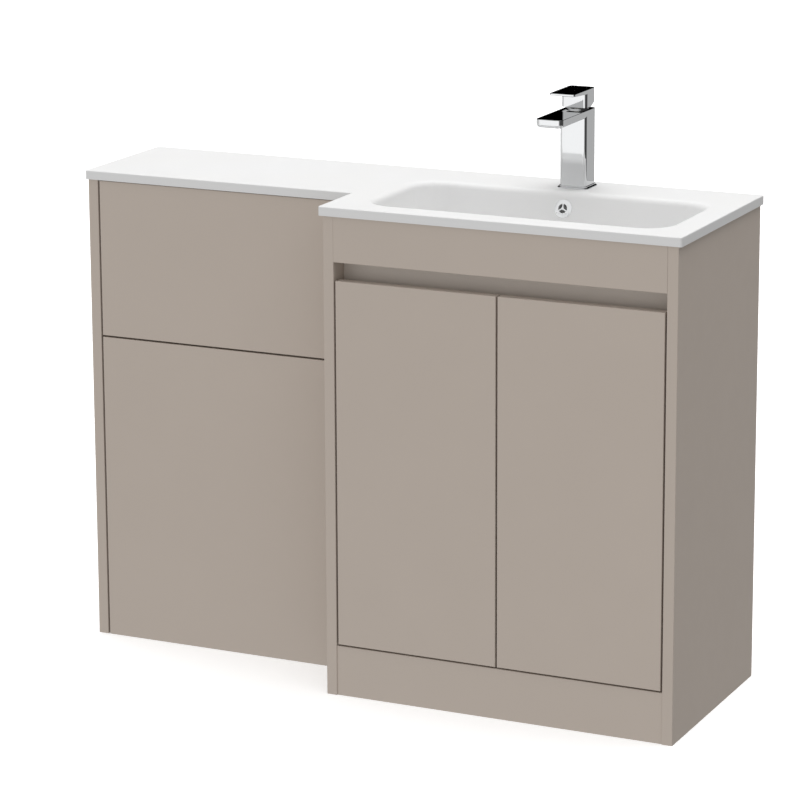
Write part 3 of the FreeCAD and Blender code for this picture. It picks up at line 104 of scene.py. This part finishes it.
def lacqueredBoard(name, look=lacquerLook, bareSides=()):
    # Clouds mix the colour, patches set the roughness and the peel the relief. Flakes take the place of all
    # three on the bare sides, each given by its axis and direction.
    material, tree, place, normal = newMaterial(name)
    clouds = addNode(tree, "TexNoise", {"Vector": place, "Scale": 1 / (look["clouds"] * mm), "Detail": 3.0})
    clouds = addNode(tree, "MapRange", {0: clouds, **noiseRange})
    fair, dark = linear(look["colour"]), linear(look["colour"], look["darkest"])
    paint = addNode(tree, "Mix", {0: clouds, 6: fair, 7: dark}, data_type="RGBA").outputs[2]
    patches = addNode(tree, "TexNoise", {"Vector": place, "Scale": 1 / (look["patches"] * mm)})
    gloss = addNode(tree, "MapRange", {0: patches, **noiseRange, 3: look["rough"][0], 4: look["rough"][1]})
    relief = addNode(tree, "TexNoise", {"Vector": place, "Scale": 1 / (look["peel"] * mm), "Detail": 1.0})
    if bareSides:
        bare = 0.0
        facing = addNode(tree, "SeparateXYZ", {0: normal})
        for axis, direction in bareSides:
            towards = addNode(tree, "Math", {0: facing.outputs[axis], 1: direction}, operation="MULTIPLY")
            side = addNode(tree, "Math", {0: towards, 1: chipboardLook["facing"]}, operation="GREATER_THAN")
            bare = addNode(tree, "Math", {0: bare, 1: side}, operation="MAXIMUM")
        flakes = addNode(tree, "TexVoronoi", {"Vector": place, "Scale": 1 / (chipboardLook["flake"] * mm)})
        tones = addNode(tree, "ValToRGB", {0: flakes.outputs["Color"]})
        tones.color_ramp.elements[0].color = linear(chipboardLook["dark"])
        tones.color_ramp.elements[1].color = linear(chipboardLook["pale"])
        paint = addNode(tree, "Mix", {0: bare, 6: paint, 7: tones}, data_type="RGBA").outputs[2]
        gloss = addNode(tree, "Mix", {0: bare, 2: gloss, 3: chipboardLook["roughness"]})
        grain = addNode(tree, "Math", {0: flakes.outputs["Distance"], 1: chipboardLook["relief"]},
                        operation="MULTIPLY")
        relief = addNode(tree, "Mix", {0: bare, 2: relief, 3: grain})
    bump = addNode(tree, "Bump", {"Height": relief, "Distance": look["peelDepth"] * mm, "Strength": 1.0})
    finishMaterial(tree, {"Base Color": paint, "Roughness": gloss, "Normal": bump, "IOR": look["ior"],
                          "Specular IOR Level": look["specular"]})
    return material


# Cast mineral under gel coat: clean white with a soft sheen. The underside has no gel coat and is greyer,
# matt and pitted. Sizes in mm: clouds in the colour, patches in the gloss, pits of the underside and their
# depth.
mineralLook = {"colour": "#e6e6e6", "warmth": (1.0, 0.997, 0.99), "rough": (0.47, 0.54), "clouds": 165.0,
               "patches": 40.0, "bare": "#cfccc4", "bareRoughness": 0.9, "bareBelow": -0.5, "pits": 4.2,
               "pitDepth": 0.6, "ior": 1.4, "specular": 0.172}


def castMineral(name):
    # Clouds warm the white and patches set the roughness. Pits and a bare colour show where it faces down.
    look = mineralLook
    material, tree, place, normal = newMaterial(name)
    white = linear(look["colour"])
    warmer = [c * share for c, share in zip(white, (*look["warmth"], 1.0))]
    clouds = addNode(tree, "TexNoise", {"Vector": place, "Scale": 1 / (look["clouds"] * mm)})
    clouds = addNode(tree, "MapRange", {0: clouds, **noiseRange})
    coat = addNode(tree, "Mix", {0: clouds, 6: white, 7: warmer}, data_type="RGBA").outputs[2]
    patches = addNode(tree, "TexNoise", {"Vector": place, "Scale": 1 / (look["patches"] * mm), "Detail": 3.0})
    gloss = addNode(tree, "MapRange", {0: patches, **noiseRange, 3: look["rough"][0], 4: look["rough"][1]})
    facing = addNode(tree, "SeparateXYZ", {0: normal})
    bare = addNode(tree, "Math", {0: facing.outputs[2], 1: look["bareBelow"]}, operation="LESS_THAN")
    colour = addNode(tree, "Mix", {0: bare, 6: coat, 7: linear(look["bare"])}, data_type="RGBA").outputs[2]
    gloss = addNode(tree, "Mix", {0: bare, 2: gloss, 3: look["bareRoughness"]})
    pits = addNode(tree, "TexNoise", {"Vector": place, "Scale": 1 / (look["pits"] * mm), "Detail": 4.0})
    pits = addNode(tree, "Math", {0: pits, 1: bare}, operation="MULTIPLY")
    bump = addNode(tree, "Bump", {"Height": pits, "Distance": look["pitDepth"] * mm, "Strength": 1.0})
    finishMaterial(tree, {"Base Color": colour, "Roughness": gloss, "Normal": bump, "IOR": look["ior"],
                          "Specular IOR Level": look["specular"]})
    return material


# Metals: colour, roughness from and to, size of the fine marks in mm, how many times longer than wide they
# are, and their depth in mm
metalLooks = {
    # Cast, polished and plated: a sharp mirror
    "chromedBrass": {"colour": "#cecfd0", "rough": (0.03, 0.05), "marks": 11.0, "stretch": 1, "depth": 0.0},
    # Moulded, polished and plated: the paler mirror of the overflow cover
    "chromedPlastic": {"colour": "#f2f3f4", "rough": (0.03, 0.05), "marks": 11.0, "stretch": 1, "depth": 0.0},
    # Stamped and plated: a grey sheen with streaks
    "nickelPlatedSteel": {"colour": "#b9b8b5", "rough": (0.22, 0.34), "marks": 6.25, "stretch": 12,
                          "depth": 0.01},
    # Turned and plated: the same sheen, warmer
    "nickelPlatedBrass": {"colour": "#b4b1a9", "rough": (0.2, 0.32), "marks": 5.0, "stretch": 10,
                          "depth": 0.01},
    # Dipped in zinc: dull blue-grey with a fine bloom
    "zincPlatedSteel": {"colour": "#a8a9a6", "rough": (0.34, 0.5), "marks": 4.5, "stretch": 1, "depth": 0.02},
    # Turned and left plain: yellow with lathe marks
    "turnedBrass": {"colour": "#c9a35a", "rough": (0.25, 0.38), "marks": 3.3, "stretch": 10, "depth": 0.01},
    # Woven wire: dark grey glints
    "stainlessMesh": {"colour": "#8f9090", "rough": (0.3, 0.45), "marks": 1.1, "stretch": 1, "depth": 0.05},
}


def metal(name):
    # One noise, drawn out along z, sets the roughness and the relief
    look = metalLooks[name]
    material, tree, place, normal = newMaterial(name)
    drawn = addNode(tree, "Mapping", {0: place, 3: (1, 1, 1 / look["stretch"])})
    marks = addNode(tree, "TexNoise", {"Vector": drawn, "Scale": 1 / (look["marks"] * mm), "Detail": 3.0})
    gloss = addNode(tree, "MapRange", {0: marks, **noiseRange, 3: look["rough"][0], 4: look["rough"][1]})
    inputs = {"Metallic": 1.0, "Base Color": linear(look["colour"]), "Roughness": gloss}
    if look["depth"]:
        inputs["Normal"] = addNode(tree, "Bump", {"Height": marks, "Distance": look["depth"] * mm,
                                                  "Strength": 1.0})
    finishMaterial(tree, inputs)
    return material


# Moulded parts: colour, roughness from and to, grain of the mould and its depth in mm, share of light let
# through. All have the IOR of a common plastic and faint clouds of this size in mm.
mouldedAll = {"ior": 1.49, "clouds": 33.0, "darkest": 0.96}
mouldedLooks = {
    # Injection moulded, satin: the chalky white of waste fittings
    "whitePolypropylene": {"colour": "#e8e8e4", "rough": (0.37, 0.47), "grain": 2.0, "depth": 0.02,
                           "clear": 0.0},
    # Injection moulded, spark-eroded mould: even mid grey
    "greyNylon": {"colour": "#8d8a85", "rough": (0.45, 0.55), "grain": 1.5, "depth": 0.03, "clear": 0.0},
    # Pressed and dusted: nearly black, no sheen
    "blackRubber": {"colour": "#1c1c1c", "rough": (0.65, 0.75), "grain": 1.1, "depth": 0.04, "clear": 0.0},
    # Cast drops of polyurethane: milky clear
    "clearBuffer": {"colour": "#f4f6f6", "rough": (0.2, 0.3), "grain": 3.3, "depth": 0.01, "clear": 0.8},
}


def moulded(name):
    # Clouds mix the colour, and the grain of the mould sets the roughness and the relief
    look = {**mouldedAll, **mouldedLooks[name]}
    material, tree, place, normal = newMaterial(name)
    clouds = addNode(tree, "TexNoise", {"Vector": place, "Scale": 1 / (look["clouds"] * mm)})
    clouds = addNode(tree, "MapRange", {0: clouds, **noiseRange})
    fair, dark = linear(look["colour"]), linear(look["colour"], look["darkest"])
    colour = addNode(tree, "Mix", {0: clouds, 6: fair, 7: dark}, data_type="RGBA").outputs[2]
    grain = addNode(tree, "TexNoise", {"Vector": place, "Scale": 1 / (look["grain"] * mm)})
    gloss = addNode(tree, "MapRange", {0: grain, **noiseRange, 3: look["rough"][0], 4: look["rough"][1]})
    bump = addNode(tree, "Bump", {"Height": grain, "Distance": look["depth"] * mm, "Strength": 1.0})
    finishMaterial(tree, {"Base Color": colour, "Roughness": gloss, "Normal": bump, "IOR": look["ior"],
                          "Transmission Weight": look["clear"]})
    return material


# Which finish each CAD node carries
backSide, underside, topSide = (1, 1.0), (2, -1.0), (2, 1.0)
finishes = {
    lacqueredBoard("lacqueredFront"): [
        "wc_lower_panel", "wc_access_panel", "left_door", "right_door", "vanity_fascia", "vanity_plinth"],
    lacqueredBoard("lacqueredSide", bareSides=(backSide, underside)): [
        "wc_left_side", "wc_right_side", "vanity_left_side", "vanity_right_side"],
    lacqueredBoard("lacqueredRail", bareSides=(underside, topSide)): [
        "wc_joint_rail", "wc_top_rail", "wc_foot_rail", "wc_rear_top_rail", "wc_rear_foot_rail",
        "vanity_rear_top_rail", "vanity_rear_foot_rail"],
    lacqueredBoard("lacqueredShelf", bareSides=(backSide,)): ["shelf", "vanity_base"],
    # The channel's paler colour is painted light for the shade in its recess
    lacqueredBoard("lacqueredChannel", look=channelPaintedLightLook): ["handle_channel"],
    castMineral("gelCoatedMineral"): ["basin_top"],
    metal("chromedPlastic"): ["overflow_cover"],
    metal("chromedBrass"): [
        "waste_body", "waste_plug", "tap_body", "tap_base_ring", "cartridge_cover", "tap_lever"],
    metal("nickelPlatedBrass"): ["cartridge_nut", "lever_stem"],
    metal("nickelPlatedSteel"): [
        "shelf_pins", "left_hinge_cups", "right_hinge_cups", "left_hinge_links", "right_hinge_links",
        "hinge_arms", "hinge_plates", "lever_grub_screw", "tap_aerator"],
    metal("zincPlatedSteel"): [
        "lower_panel_screws", "cabinet_screws", "wall_brackets", "cabinet_connectors", "tap_clamp_plate"],
    metal("turnedBrass"): ["waste_backnut", "tap_stud", "tap_fixing_nut"],
    moulded("whitePolypropylene"): [
        "access_panel_studs", "access_panel_sockets", "trap_inlet_nut", "trap_body", "trap_cup",
        "trap_outlet_nut", "trap_outlet_pipe", "tap_cartridge", "lever_rotor"],
    moulded("greyNylon"): ["plinth_blocks"],
    moulded("blackRubber"): ["waste_washer", "tap_clamp_gasket"],
    moulded("clearBuffer"): ["door_buffers"],
}
for material, names in finishes.items():
    for name in names:
        mesh = cadNodes[name].data
        mesh.materials.clear()
        mesh.materials.append(material)
print("finishes done")


def cadCorners(node):
    # Lowest corner, highest corner and middle of a CAD node in mm, to the nearest micron
    low, high = [np.round(np.array(corner) / mm, 3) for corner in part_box(node)]
    return low, high, (low + high) / 2


def newPiece(name, points, faces, finish, body):
    # A smooth piece from points in mm, parented to the empty named for its body
    mesh = bpy.data.meshes.new(name)
    mesh.from_pydata((points * mm).tolist(), [], faces)
    mesh.shade_smooth()
    mesh.materials.append(bpy.data.materials[finish])
    piece = bpy.data.objects.new(name, mesh)
    bpy.context.scene.collection.objects.link(piece)
    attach(piece, body)
    return piece


def ringFaces(rows, columns):
    # Quads between each ring of points and the next, the last ring joined to the first
    row, column = np.meshgrid(np.arange(rows), np.arange(columns), indexing="ij")
    low, high = row * columns, (row + 1) % rows * columns
    following = (column + 1) % columns
    return np.stack([low + column, low + following, high + following, high + column], axis=-1).reshape(-1, 4)


def cappedFaces(rows, columns):
    # Rings that one more point closes at each end: the foot, then the tip
    quads = ringFaces(rows, columns)[:(rows - 1) * columns]
    column = np.arange(columns)
    following = (column + 1) % columns
    foot, last = np.full(columns, rows * columns), (rows - 1) * columns
    feet = np.stack([following, column, foot], axis=1)
    tips = np.stack([last + column, last + following, foot + 1], axis=1)
    return quads.tolist() + feet.tolist() + tips.tolist()


def turnedPoints(radii, heights, turns, centre):
    # x = radius * cos(turn), y = radius * sin(turn), z = height, about an upright axis through the centre
    around = np.stack([np.cos(turns), np.sin(turns)], axis=1)
    flat = radii[:, :, None] * around
    tall = np.broadcast_to(heights[:, None, None], flat.shape[:2] + (1,))
    return (np.concatenate([flat, tall], axis=2) + (*centre[:2], 0.0)).reshape(-1, 3)


# Share of a thread's pitch that is flat, at the crest and at the root
threadFlats = {"crest": 0.125, "root": 0.25}


def threadShape(look, low, high):
    # radius = core + (crest - core) * tooth. The tooth is a wave of height / pitch - turn / full turn with
    # straight flanks, and fades over one pitch at each end.
    rows = int((high - low) / look["pitch"] * look["rowsPerPitch"])
    heights = np.linspace(low, high, rows)
    turns = np.linspace(0, fullTurn, look["columns"], endpoint=False)
    phase = (heights[:, None] / look["pitch"] - turns / fullTurn) % 1.0
    rootFrom = 1 - threadFlats["root"]
    tooth = np.clip((rootFrom - np.abs(2 * phase - 1)) / (rootFrom - threadFlats["crest"]), 0.0, 1.0)
    runIn = np.minimum(heights - low, high - heights) / look["pitch"]
    tooth *= np.clip(runIn, 0.0, 1.0)[:, None]
    return look["core"] + (look["crest"] - look["core"]) * tooth, heights, turns


def sunkBand(name, radii, heights, turns, centre, inside, finish):
    # A band that stands out of a round CAD part, closed by an inner wall sunk into that part
    radii = np.concatenate([radii, np.full((2, len(turns)), inside)])
    heights = np.concatenate([heights, heights[[-1, 0]]])
    points = turnedPoints(radii, heights, turns, centre)
    return newPiece(name, points, ringFaces(len(heights), len(turns)).tolist(), finish, "unit")


# Threaded stud under the tap, M8, in place of the plain CAD one and as long. Lengths in mm.
studLook = {"core": 3.3, "crest": 3.95, "pitch": 1.25, "rowsPerPitch": 12, "columns": 36}
low, high = cadCorners("tap_stud")[:2]
centre = cadCorners("tap_fixing_nut")[2][:2]
radii, heights, turns = threadShape(studLook, low[2], high[2])
ends = [(*centre, heights[0]), (*centre, heights[-1])]
points = np.concatenate([turnedPoints(radii, heights, turns, centre), ends])
faces = cappedFaces(len(heights), len(turns))
stud = newPiece("tapStudThread", points, faces, "turnedBrass", "unit")
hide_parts("tap_stud")

# Pipe thread, 11 to the inch, on the tail of the waste where it shows between the two nuts, clear of both
tailLook = {"clear": 0.4, "core": 20.6, "crest": 21.25, "pitch": 2.309, "rowsPerPitch": 12, "columns": 120,
            "inside": 20.2}
bottom = cadCorners("trap_inlet_nut")[1][2] + tailLook["clear"]
top = cadCorners("waste_backnut")[0][2] - tailLook["clear"]
radii, heights, turns = threadShape(tailLook, bottom, top)
sunkBand("wasteTailThread", radii, heights, turns, cadCorners("waste_body")[2], tailLook["inside"],
         "chromedBrass")

# Grip ribs round the collar of the trap's cup, just under its top. They are like half-round bars, with share
# from -1 to 1 up the band: radius = collar + rib * sqrt(max(0, cos(count * turn))) * sqrt(1 - share ** fade)
gripLook = {"underTop": 1.2, "tall": 11.6, "collar": 32.9, "rib": 1.1, "count": 36, "fade": 8,
            "columnsPerRib": 12, "rows": 13, "inside": 32.4}
high, middle = cadCorners("trap_cup")[1:]
top = high[2] - gripLook["underTop"]
turns = np.linspace(0, fullTurn, gripLook["columnsPerRib"] * gripLook["count"], endpoint=False)
heights = np.linspace(top - gripLook["tall"], top, gripLook["rows"])
bars = np.sqrt(np.maximum(0.0, np.cos(gripLook["count"] * turns)))
fade = np.sqrt(1.0 - np.linspace(-1.0, 1.0, gripLook["rows"]) ** gripLook["fade"])[:, None]
sunkBand("trapCupGrip", gripLook["collar"] + gripLook["rib"] * bars * fade, heights, turns, middle,
         gripLook["inside"], "whitePolypropylene")

# Woven mesh a little up the mouth of the aerator, drawn coarser than the real one so that it shows: a disc
# with z = rise * cos(full turn * x / wire) * cos(full turn * y / wire)
meshLook = {"up": 0.9, "hub": 0.25, "radius": 8.9, "rise": 0.26, "wire": 1.1, "thick": 1.0, "rings": 34,
            "columns": 96}
low, _, middle = cadCorners("tap_aerator")
centre = (*middle[:2], low[2] + meshLook["up"])
metal("stainlessMesh")
turns = np.linspace(0, fullTurn, meshLook["columns"], endpoint=False)
around = np.stack([np.cos(turns), np.sin(turns)], axis=1)
spokes = np.linspace(meshLook["hub"], meshLook["radius"], meshLook["rings"])
disc = spokes[:, None, None] * around
waves = meshLook["rise"] * np.cos(fullTurn * disc / meshLook["wire"]).prod(axis=2, keepdims=True)
front = np.concatenate([disc, waves], axis=2)
back = front[-1:] * (1, 1, 0) + (0, 0, meshLook["thick"])
ends = [(0, 0, 0), (0, 0, meshLook["thick"])]
points = np.concatenate([np.concatenate([front, back]).reshape(-1, 3), ends]) + centre
faces = cappedFaces(meshLook["rings"] + 1, meshLook["columns"])
newPiece("aeratorMesh", points, faces, "stainlessMesh", "unit")
print("threads, grip and mesh done")


# Cross drives, in mm. A CAD screw head is this wide, within the play, and its rim is this broad. The cross
# has a half width, a reach, a depth, and a floor with a small cone. Then come rings (radius, height) from the
# foot up: the plug that fills a round socket, and a whole head for a screw of an arm.
driveLook = {"headWidth": 8.0, "play": 0.3, "rim": 0.5, "half": 0.42, "reach": 1.3, "depth": 1.05,
             "floorShare": 0.62, "cone": 0.08, "plug": [(1.43, -1.15), (1.43, -0.02)],
             "head": [(3.1, -0.2), (3.1, 0.5), (2.8, 0.9), (2.2, 1.2)]}
# Adjusting screws on the inner faces of the hinge arms: how far they stand in from the outer face of the
# arms, from their back ends, and from the lowest and highest arm's edge, in mm
adjusterLook = {"in": 5.0, "ahead": (29.0, 8.0), "fromEdge": 7.0}


def solidsIn(node):
    # Points of each separate solid of a CAD node in mm: points at one place count as one,
    # and the lowest label spreads along the edges until nothing changes
    mesh = cadNodes[node].data
    points = np.empty(len(mesh.vertices) * 3)
    mesh.vertices.foreach_get("co", points)
    points = points.reshape(-1, 3) / mm
    ends = np.empty(len(mesh.edges) * 2, dtype=int)
    mesh.edges.foreach_get("vertices", ends)
    same = np.unique(np.round(points, 3), axis=0, return_inverse=True)[1].ravel()
    ends = same[ends].reshape(-1, 2)
    labels = np.arange(same.max() + 1)
    before = None
    while before is None or (labels != before).any():
        before = labels.copy()
        lowest = labels[ends].min(axis=1)
        np.minimum.at(labels, ends[:, 0], lowest)
        np.minimum.at(labels, ends[:, 1], lowest)
    return [points[labels[same] == label] for label in np.unique(labels)]


def screwSeats(node):
    # Middle of each screw head's face, and the way it faces: the screw's long axis, towards its wide end
    seats = []
    for points in solidsIn(node):
        low, high = points.min(axis=0), points.max(axis=0)
        axis = int(np.argmax(high - low))
        across = [k for k in range(3) if k != axis]
        if np.abs((high - low)[across] - driveLook["headWidth"]).max() < driveLook["play"]:
            middle = (low + high) / 2
            offAxis = np.linalg.norm(points[:, across] - middle[across], axis=1)
            wide = points[offAxis > driveLook["headWidth"] / 2 - driveLook["rim"]]
            facing = np.zeros(3)
            facing[axis] = np.sign(wide[:, axis].mean() - middle[axis])
            seats.append((middle + facing * (high - low) / 2, facing))
    return seats


def crossOutline():
    # A cross in polar form: radius = reach / cos(turn) at the end of an arm and half / sin(turn) along its
    # flank, with the turn counted from the middle of the nearest arm
    half, reach = driveLook["half"], driveLook["reach"]
    corner = math.atan2(half, reach)
    quarter = np.array([-corner, 0.0, corner, fullTurn / 8])
    turns = (quarter + np.arange(4)[:, None] * fullTurn / 4).ravel()
    offArm = np.abs((turns + fullTurn / 8) % (fullTurn / 4) - fullTurn / 8)
    flank = half / np.sin(np.maximum(offArm, corner))
    onFlank = offArm > (corner + fullTurn / 8) / 2
    return turns, np.where(onFlank, flank, reach / np.cos(offArm))


def crossDrives(name, seats, rings, finish, body):
    # Rings from the foot up, then the outline of the cross and its floor, set on every seat
    turns, outline = crossOutline()
    top = rings[-1][1]
    floor = top - driveLook["depth"]
    radii = np.array([np.full(len(turns), radius) for radius, height in rings]
                     + [outline, outline * driveLook["floorShare"]])
    heights = np.array([height for radius, height in rings] + [top, floor])
    shape = turnedPoints(radii, heights, turns, (0.0, 0.0))
    shape = np.concatenate([shape, [(0, 0, heights[0]), (0, 0, floor - driveLook["cone"])]])
    points, faces = [], []
    for seat, facing in seats:
        facing = Vector(facing)
        sideways = facing.orthogonal().normalized()
        axes = np.array([sideways, facing.cross(sideways), facing])
        start = len(points) * len(shape)
        faces += [[start + corner for corner in face] for face in cappedFaces(len(heights), len(turns))]
        points.append(shape @ axes + np.array(seat))
    piece = newPiece(name, np.concatenate(points), faces, finish, body)
    piece.data.shade_flat()


for node, body, finish in (("cabinet_screws", "unit", "zincPlatedSteel"),
                           ("lower_panel_screws", "unit", "zincPlatedSteel"),
                           ("left_hinge_cups", "left_door_leaf", "nickelPlatedSteel"),
                           ("right_hinge_cups", "right_door_leaf", "nickelPlatedSteel")):
    crossDrives(node + "Drives", screwSeats(node), driveLook["plug"], finish, body)
low, high = cadCorners("hinge_arms")[:2]
armSeats = [((x, high[1] - ahead, z), (facing, 0.0, 0.0))
            for x, facing in ((low[0] + adjusterLook["in"], 1.0), (high[0] - adjusterLook["in"], -1.0))
            for ahead in adjusterLook["ahead"]
            for z in (low[2] + adjusterLook["fromEdge"], high[2] - adjusterLook["fromEdge"])]
crossDrives("hingeAdjusters", armSeats, driveLook["head"], "nickelPlatedSteel", "unit")
print("screws done")

# Pale studio floor that glows a little, so that it comes out as white as the backdrop.
# Reach each way in m; clouds in mm.
floorLook = {"reach": 14.0, "colour": "#f5f5f5", "darkest": 0.995, "roughness": 0.9, "clouds": 1430.0,
             "glow": 0.35}
reach = floorLook["reach"]
floorMesh = bpy.data.meshes.new("studioFloor")
floorMesh.from_pydata([(-reach, -reach, 0), (reach, -reach, 0), (reach, reach, 0), (-reach, reach, 0)], [],
                      [(0, 1, 2, 3)])
studioFloor = bpy.data.objects.new("studioFloor", floorMesh)
bpy.context.scene.collection.objects.link(studioFloor)
floorMaterial, tree, place, normal = newMaterial("paintedStudioFloor")
clouds = addNode(tree, "TexNoise", {"Vector": place, "Scale": 1 / (floorLook["clouds"] * mm)})
clouds = addNode(tree, "MapRange", {0: clouds, **noiseRange})
fair, dark = linear(floorLook["colour"]), linear(floorLook["colour"], floorLook["darkest"])
paint = addNode(tree, "Mix", {0: clouds, 6: fair, 7: dark}, data_type="RGBA").outputs[2]
finishMaterial(tree, {"Base Color": paint, "Roughness": floorLook["roughness"],
                      "Emission Color": linear("#ffffff"), "Emission Strength": floorLook["glow"]})
floorMesh.materials.append(floorMaterial)
studioFloor.visible_glossy = False
studioFloor.visible_diffuse = False
print("floor done")

# Light like a big soft tent: an even share, a share that grows towards overhead and is tipped to the back, a
# weaker share from below, more from the front, less from the right, and a little direct light from overhead.
# Angles in degrees.
domeLook = {"level": 1.2, "evenShare": 0.3, "power": 5.0, "tip": 16.0, "below": 0.38, "front": 0.56,
            "right": -0.09, "sun": 0.4, "sunAngle": 50.0}
tip = math.radians(domeLook["tip"])
overheadAxis = Vector((0.0, math.sin(tip), math.cos(tip)))
sunLight = bpy.data.lights.new("softTopLight", "SUN")
sunLight.energy = domeLook["sun"]
sunLight.angle = math.radians(domeLook["sunAngle"])
sun = bpy.data.objects.new("softTopLight", sunLight)
sun.rotation_mode = "QUATERNION"
sun.rotation_quaternion = overheadAxis.to_track_quat("Z", "Y")
bpy.context.scene.collection.objects.link(sun)

world = bpy.data.worlds.new("studio")
bpy.context.scene.world = world
world.use_nodes = True
sky = world.node_tree
sky.nodes.clear()
direction = addNode(sky, "TexCoord").outputs["Generated"]
sides = addNode(sky, "SeparateXYZ", {0: direction})
upward = sides.outputs[2]

# What matt surfaces are lit by is level times this: evenShare + overheadShare * along ** power above the
# floor, below under it, and (front * forward + right * sideways) * (1 - |upward|) added to both. The two
# shares above the floor light a level face by 1 in all.
overheadShare = (1 - domeLook["evenShare"]) * (domeLook["power"] + 2) / 2
along = addNode(sky, "VectorMath", {0: direction, 1: overheadAxis}, operation="DOT_PRODUCT").outputs["Value"]
along = addNode(sky, "Math", {0: along, 1: 0.0}, operation="MAXIMUM")
overhead = addNode(sky, "Math", {0: along, 1: domeLook["power"]}, operation="POWER")
tent = addNode(sky, "Math", {0: overhead, 1: overheadShare, 2: domeLook["evenShare"]},
               operation="MULTIPLY_ADD")
aboveFloor = addNode(sky, "Math", {0: upward, 1: 0.0}, operation="GREATER_THAN")
tent = addNode(sky, "Mix", {0: aboveFloor, 2: domeLook["below"], 3: tent})
towardsFront = addNode(sky, "VectorMath", {0: direction, 1: (domeLook["right"], -domeLook["front"], 0.0)},
                       operation="DOT_PRODUCT").outputs["Value"]
steepness = addNode(sky, "Math", {0: upward}, operation="ABSOLUTE")
flatness = addNode(sky, "Math", {0: 1.0, 1: steepness}, operation="SUBTRACT")
tent = addNode(sky, "Math", {0: towardsFront, 1: flatness, 2: tent}, operation="MULTIPLY_ADD")
tent = addNode(sky, "Math", {0: tent, 1: 0.0}, operation="MAXIMUM")
tent = addNode(sky, "Math", {0: tent, 1: domeLook["level"]}, operation="MULTIPLY")
tentLight = addNode(sky, "Background", {"Color": linear("#ffffff"), "Strength": tent})

# What polished metal mirrors: grey panels round the studio. Stops are (share of a turn, level), from the back
# over the left, the front and the right: at the horizon, and above it.
mirrorLook = {"horizon": [(0.0, 0.41), (0.10, 0.50), (0.30, 0.52), (0.40, 0.98), (0.60, 0.98), (0.66, 0.06),
                          (0.86, 0.05), (0.92, 0.41), (1.0, 0.41)],
              "above": [(0.0, 0.0), (0.22, 0.0), (0.36, 0.56), (0.56, 0.56), (0.66, 0.05), (1.0, 0.0)],
              "blend": 0.12, "level": 1.45}
forward = addNode(sky, "Math", {0: sides.outputs[1], 1: -1.0}, operation="MULTIPLY")
turn = addNode(sky, "Math", {0: sides.outputs[0], 1: forward}, operation="ARCTAN2")
turnShare = addNode(sky, "MapRange", {0: turn, 1: -math.pi, 2: math.pi})
ramps = {}
for band in ("horizon", "above"):
    ramps[band] = addNode(sky, "ValToRGB", {0: turnShare})
    elements = ramps[band].color_ramp.elements
    while len(elements) < len(mirrorLook[band]):
        elements.new(0.5)
    for element, (position, level) in zip(elements, mirrorLook[band]):
        element.position = position
        element.color = (level, level, level, 1)
rise = addNode(sky, "MapRange", {0: upward, 1: 0.0, 2: mirrorLook["blend"]})
mirrored = addNode(sky, "Mix", {0: rise, 6: ramps["horizon"], 7: ramps["above"]}, data_type="RGBA").outputs[2]
panels = addNode(sky, "Background", {"Color": mirrored, "Strength": mirrorLook["level"]})

path = addNode(sky, "LightPath")
backdrop = addNode(sky, "Background", {"Color": linear("#ffffff"), "Strength": 1.0})
lit = addNode(sky, "MixShader", {0: path.outputs["Is Glossy Ray"], 1: tentLight, 2: panels})
shown = addNode(sky, "MixShader", {0: path.outputs["Is Camera Ray"], 1: lit, 2: backdrop})
addNode(sky, "OutputWorld", {0: shown})
print("light done")

# Camera where the photograph was taken from: place in m, turn to the left, fall below level and tilt in
# radians, lens and sensor in mm, shift of the picture as a share of its width, near and far limit in m
shot = {"place": (2.30563, -4.90009, 1.83957), "turn": 0.4401838, "fall": 0.2205976, "tilt": -0.0044390655,
        "lens": 152.815, "sensor": 36.0, "rise": -0.125, "near": 0.1, "far": 100.0}
levelAhead = Vector((-math.sin(shot["turn"]), math.cos(shot["turn"]), 0.0))
ahead = levelAhead * math.cos(shot["fall"]) - Vector((0.0, 0.0, math.sin(shot["fall"])))
across = levelAhead.cross(Vector((0.0, 0.0, 1.0)))
above = across.cross(ahead)
pictureRight = across * math.cos(shot["tilt"]) + above * math.sin(shot["tilt"])
pictureUp = above * math.cos(shot["tilt"]) - across * math.sin(shot["tilt"])
cameraData = bpy.data.cameras.new("photoCamera")
cameraData.sensor_width = shot["sensor"]
cameraData.lens = shot["lens"]
cameraData.shift_y = shot["rise"]
cameraData.clip_start, cameraData.clip_end = shot["near"], shot["far"]
camera = bpy.data.objects.new("photoCamera", cameraData)
facing = Matrix((pictureRight, pictureUp, -ahead)).transposed().to_4x4()
camera.matrix_world = Matrix.Translation(shot["place"]) @ facing
bpy.context.scene.collection.objects.link(camera)
bpy.context.scene.camera = camera
bpy.context.scene.view_settings.view_transform = "Standard"

print("scene done")
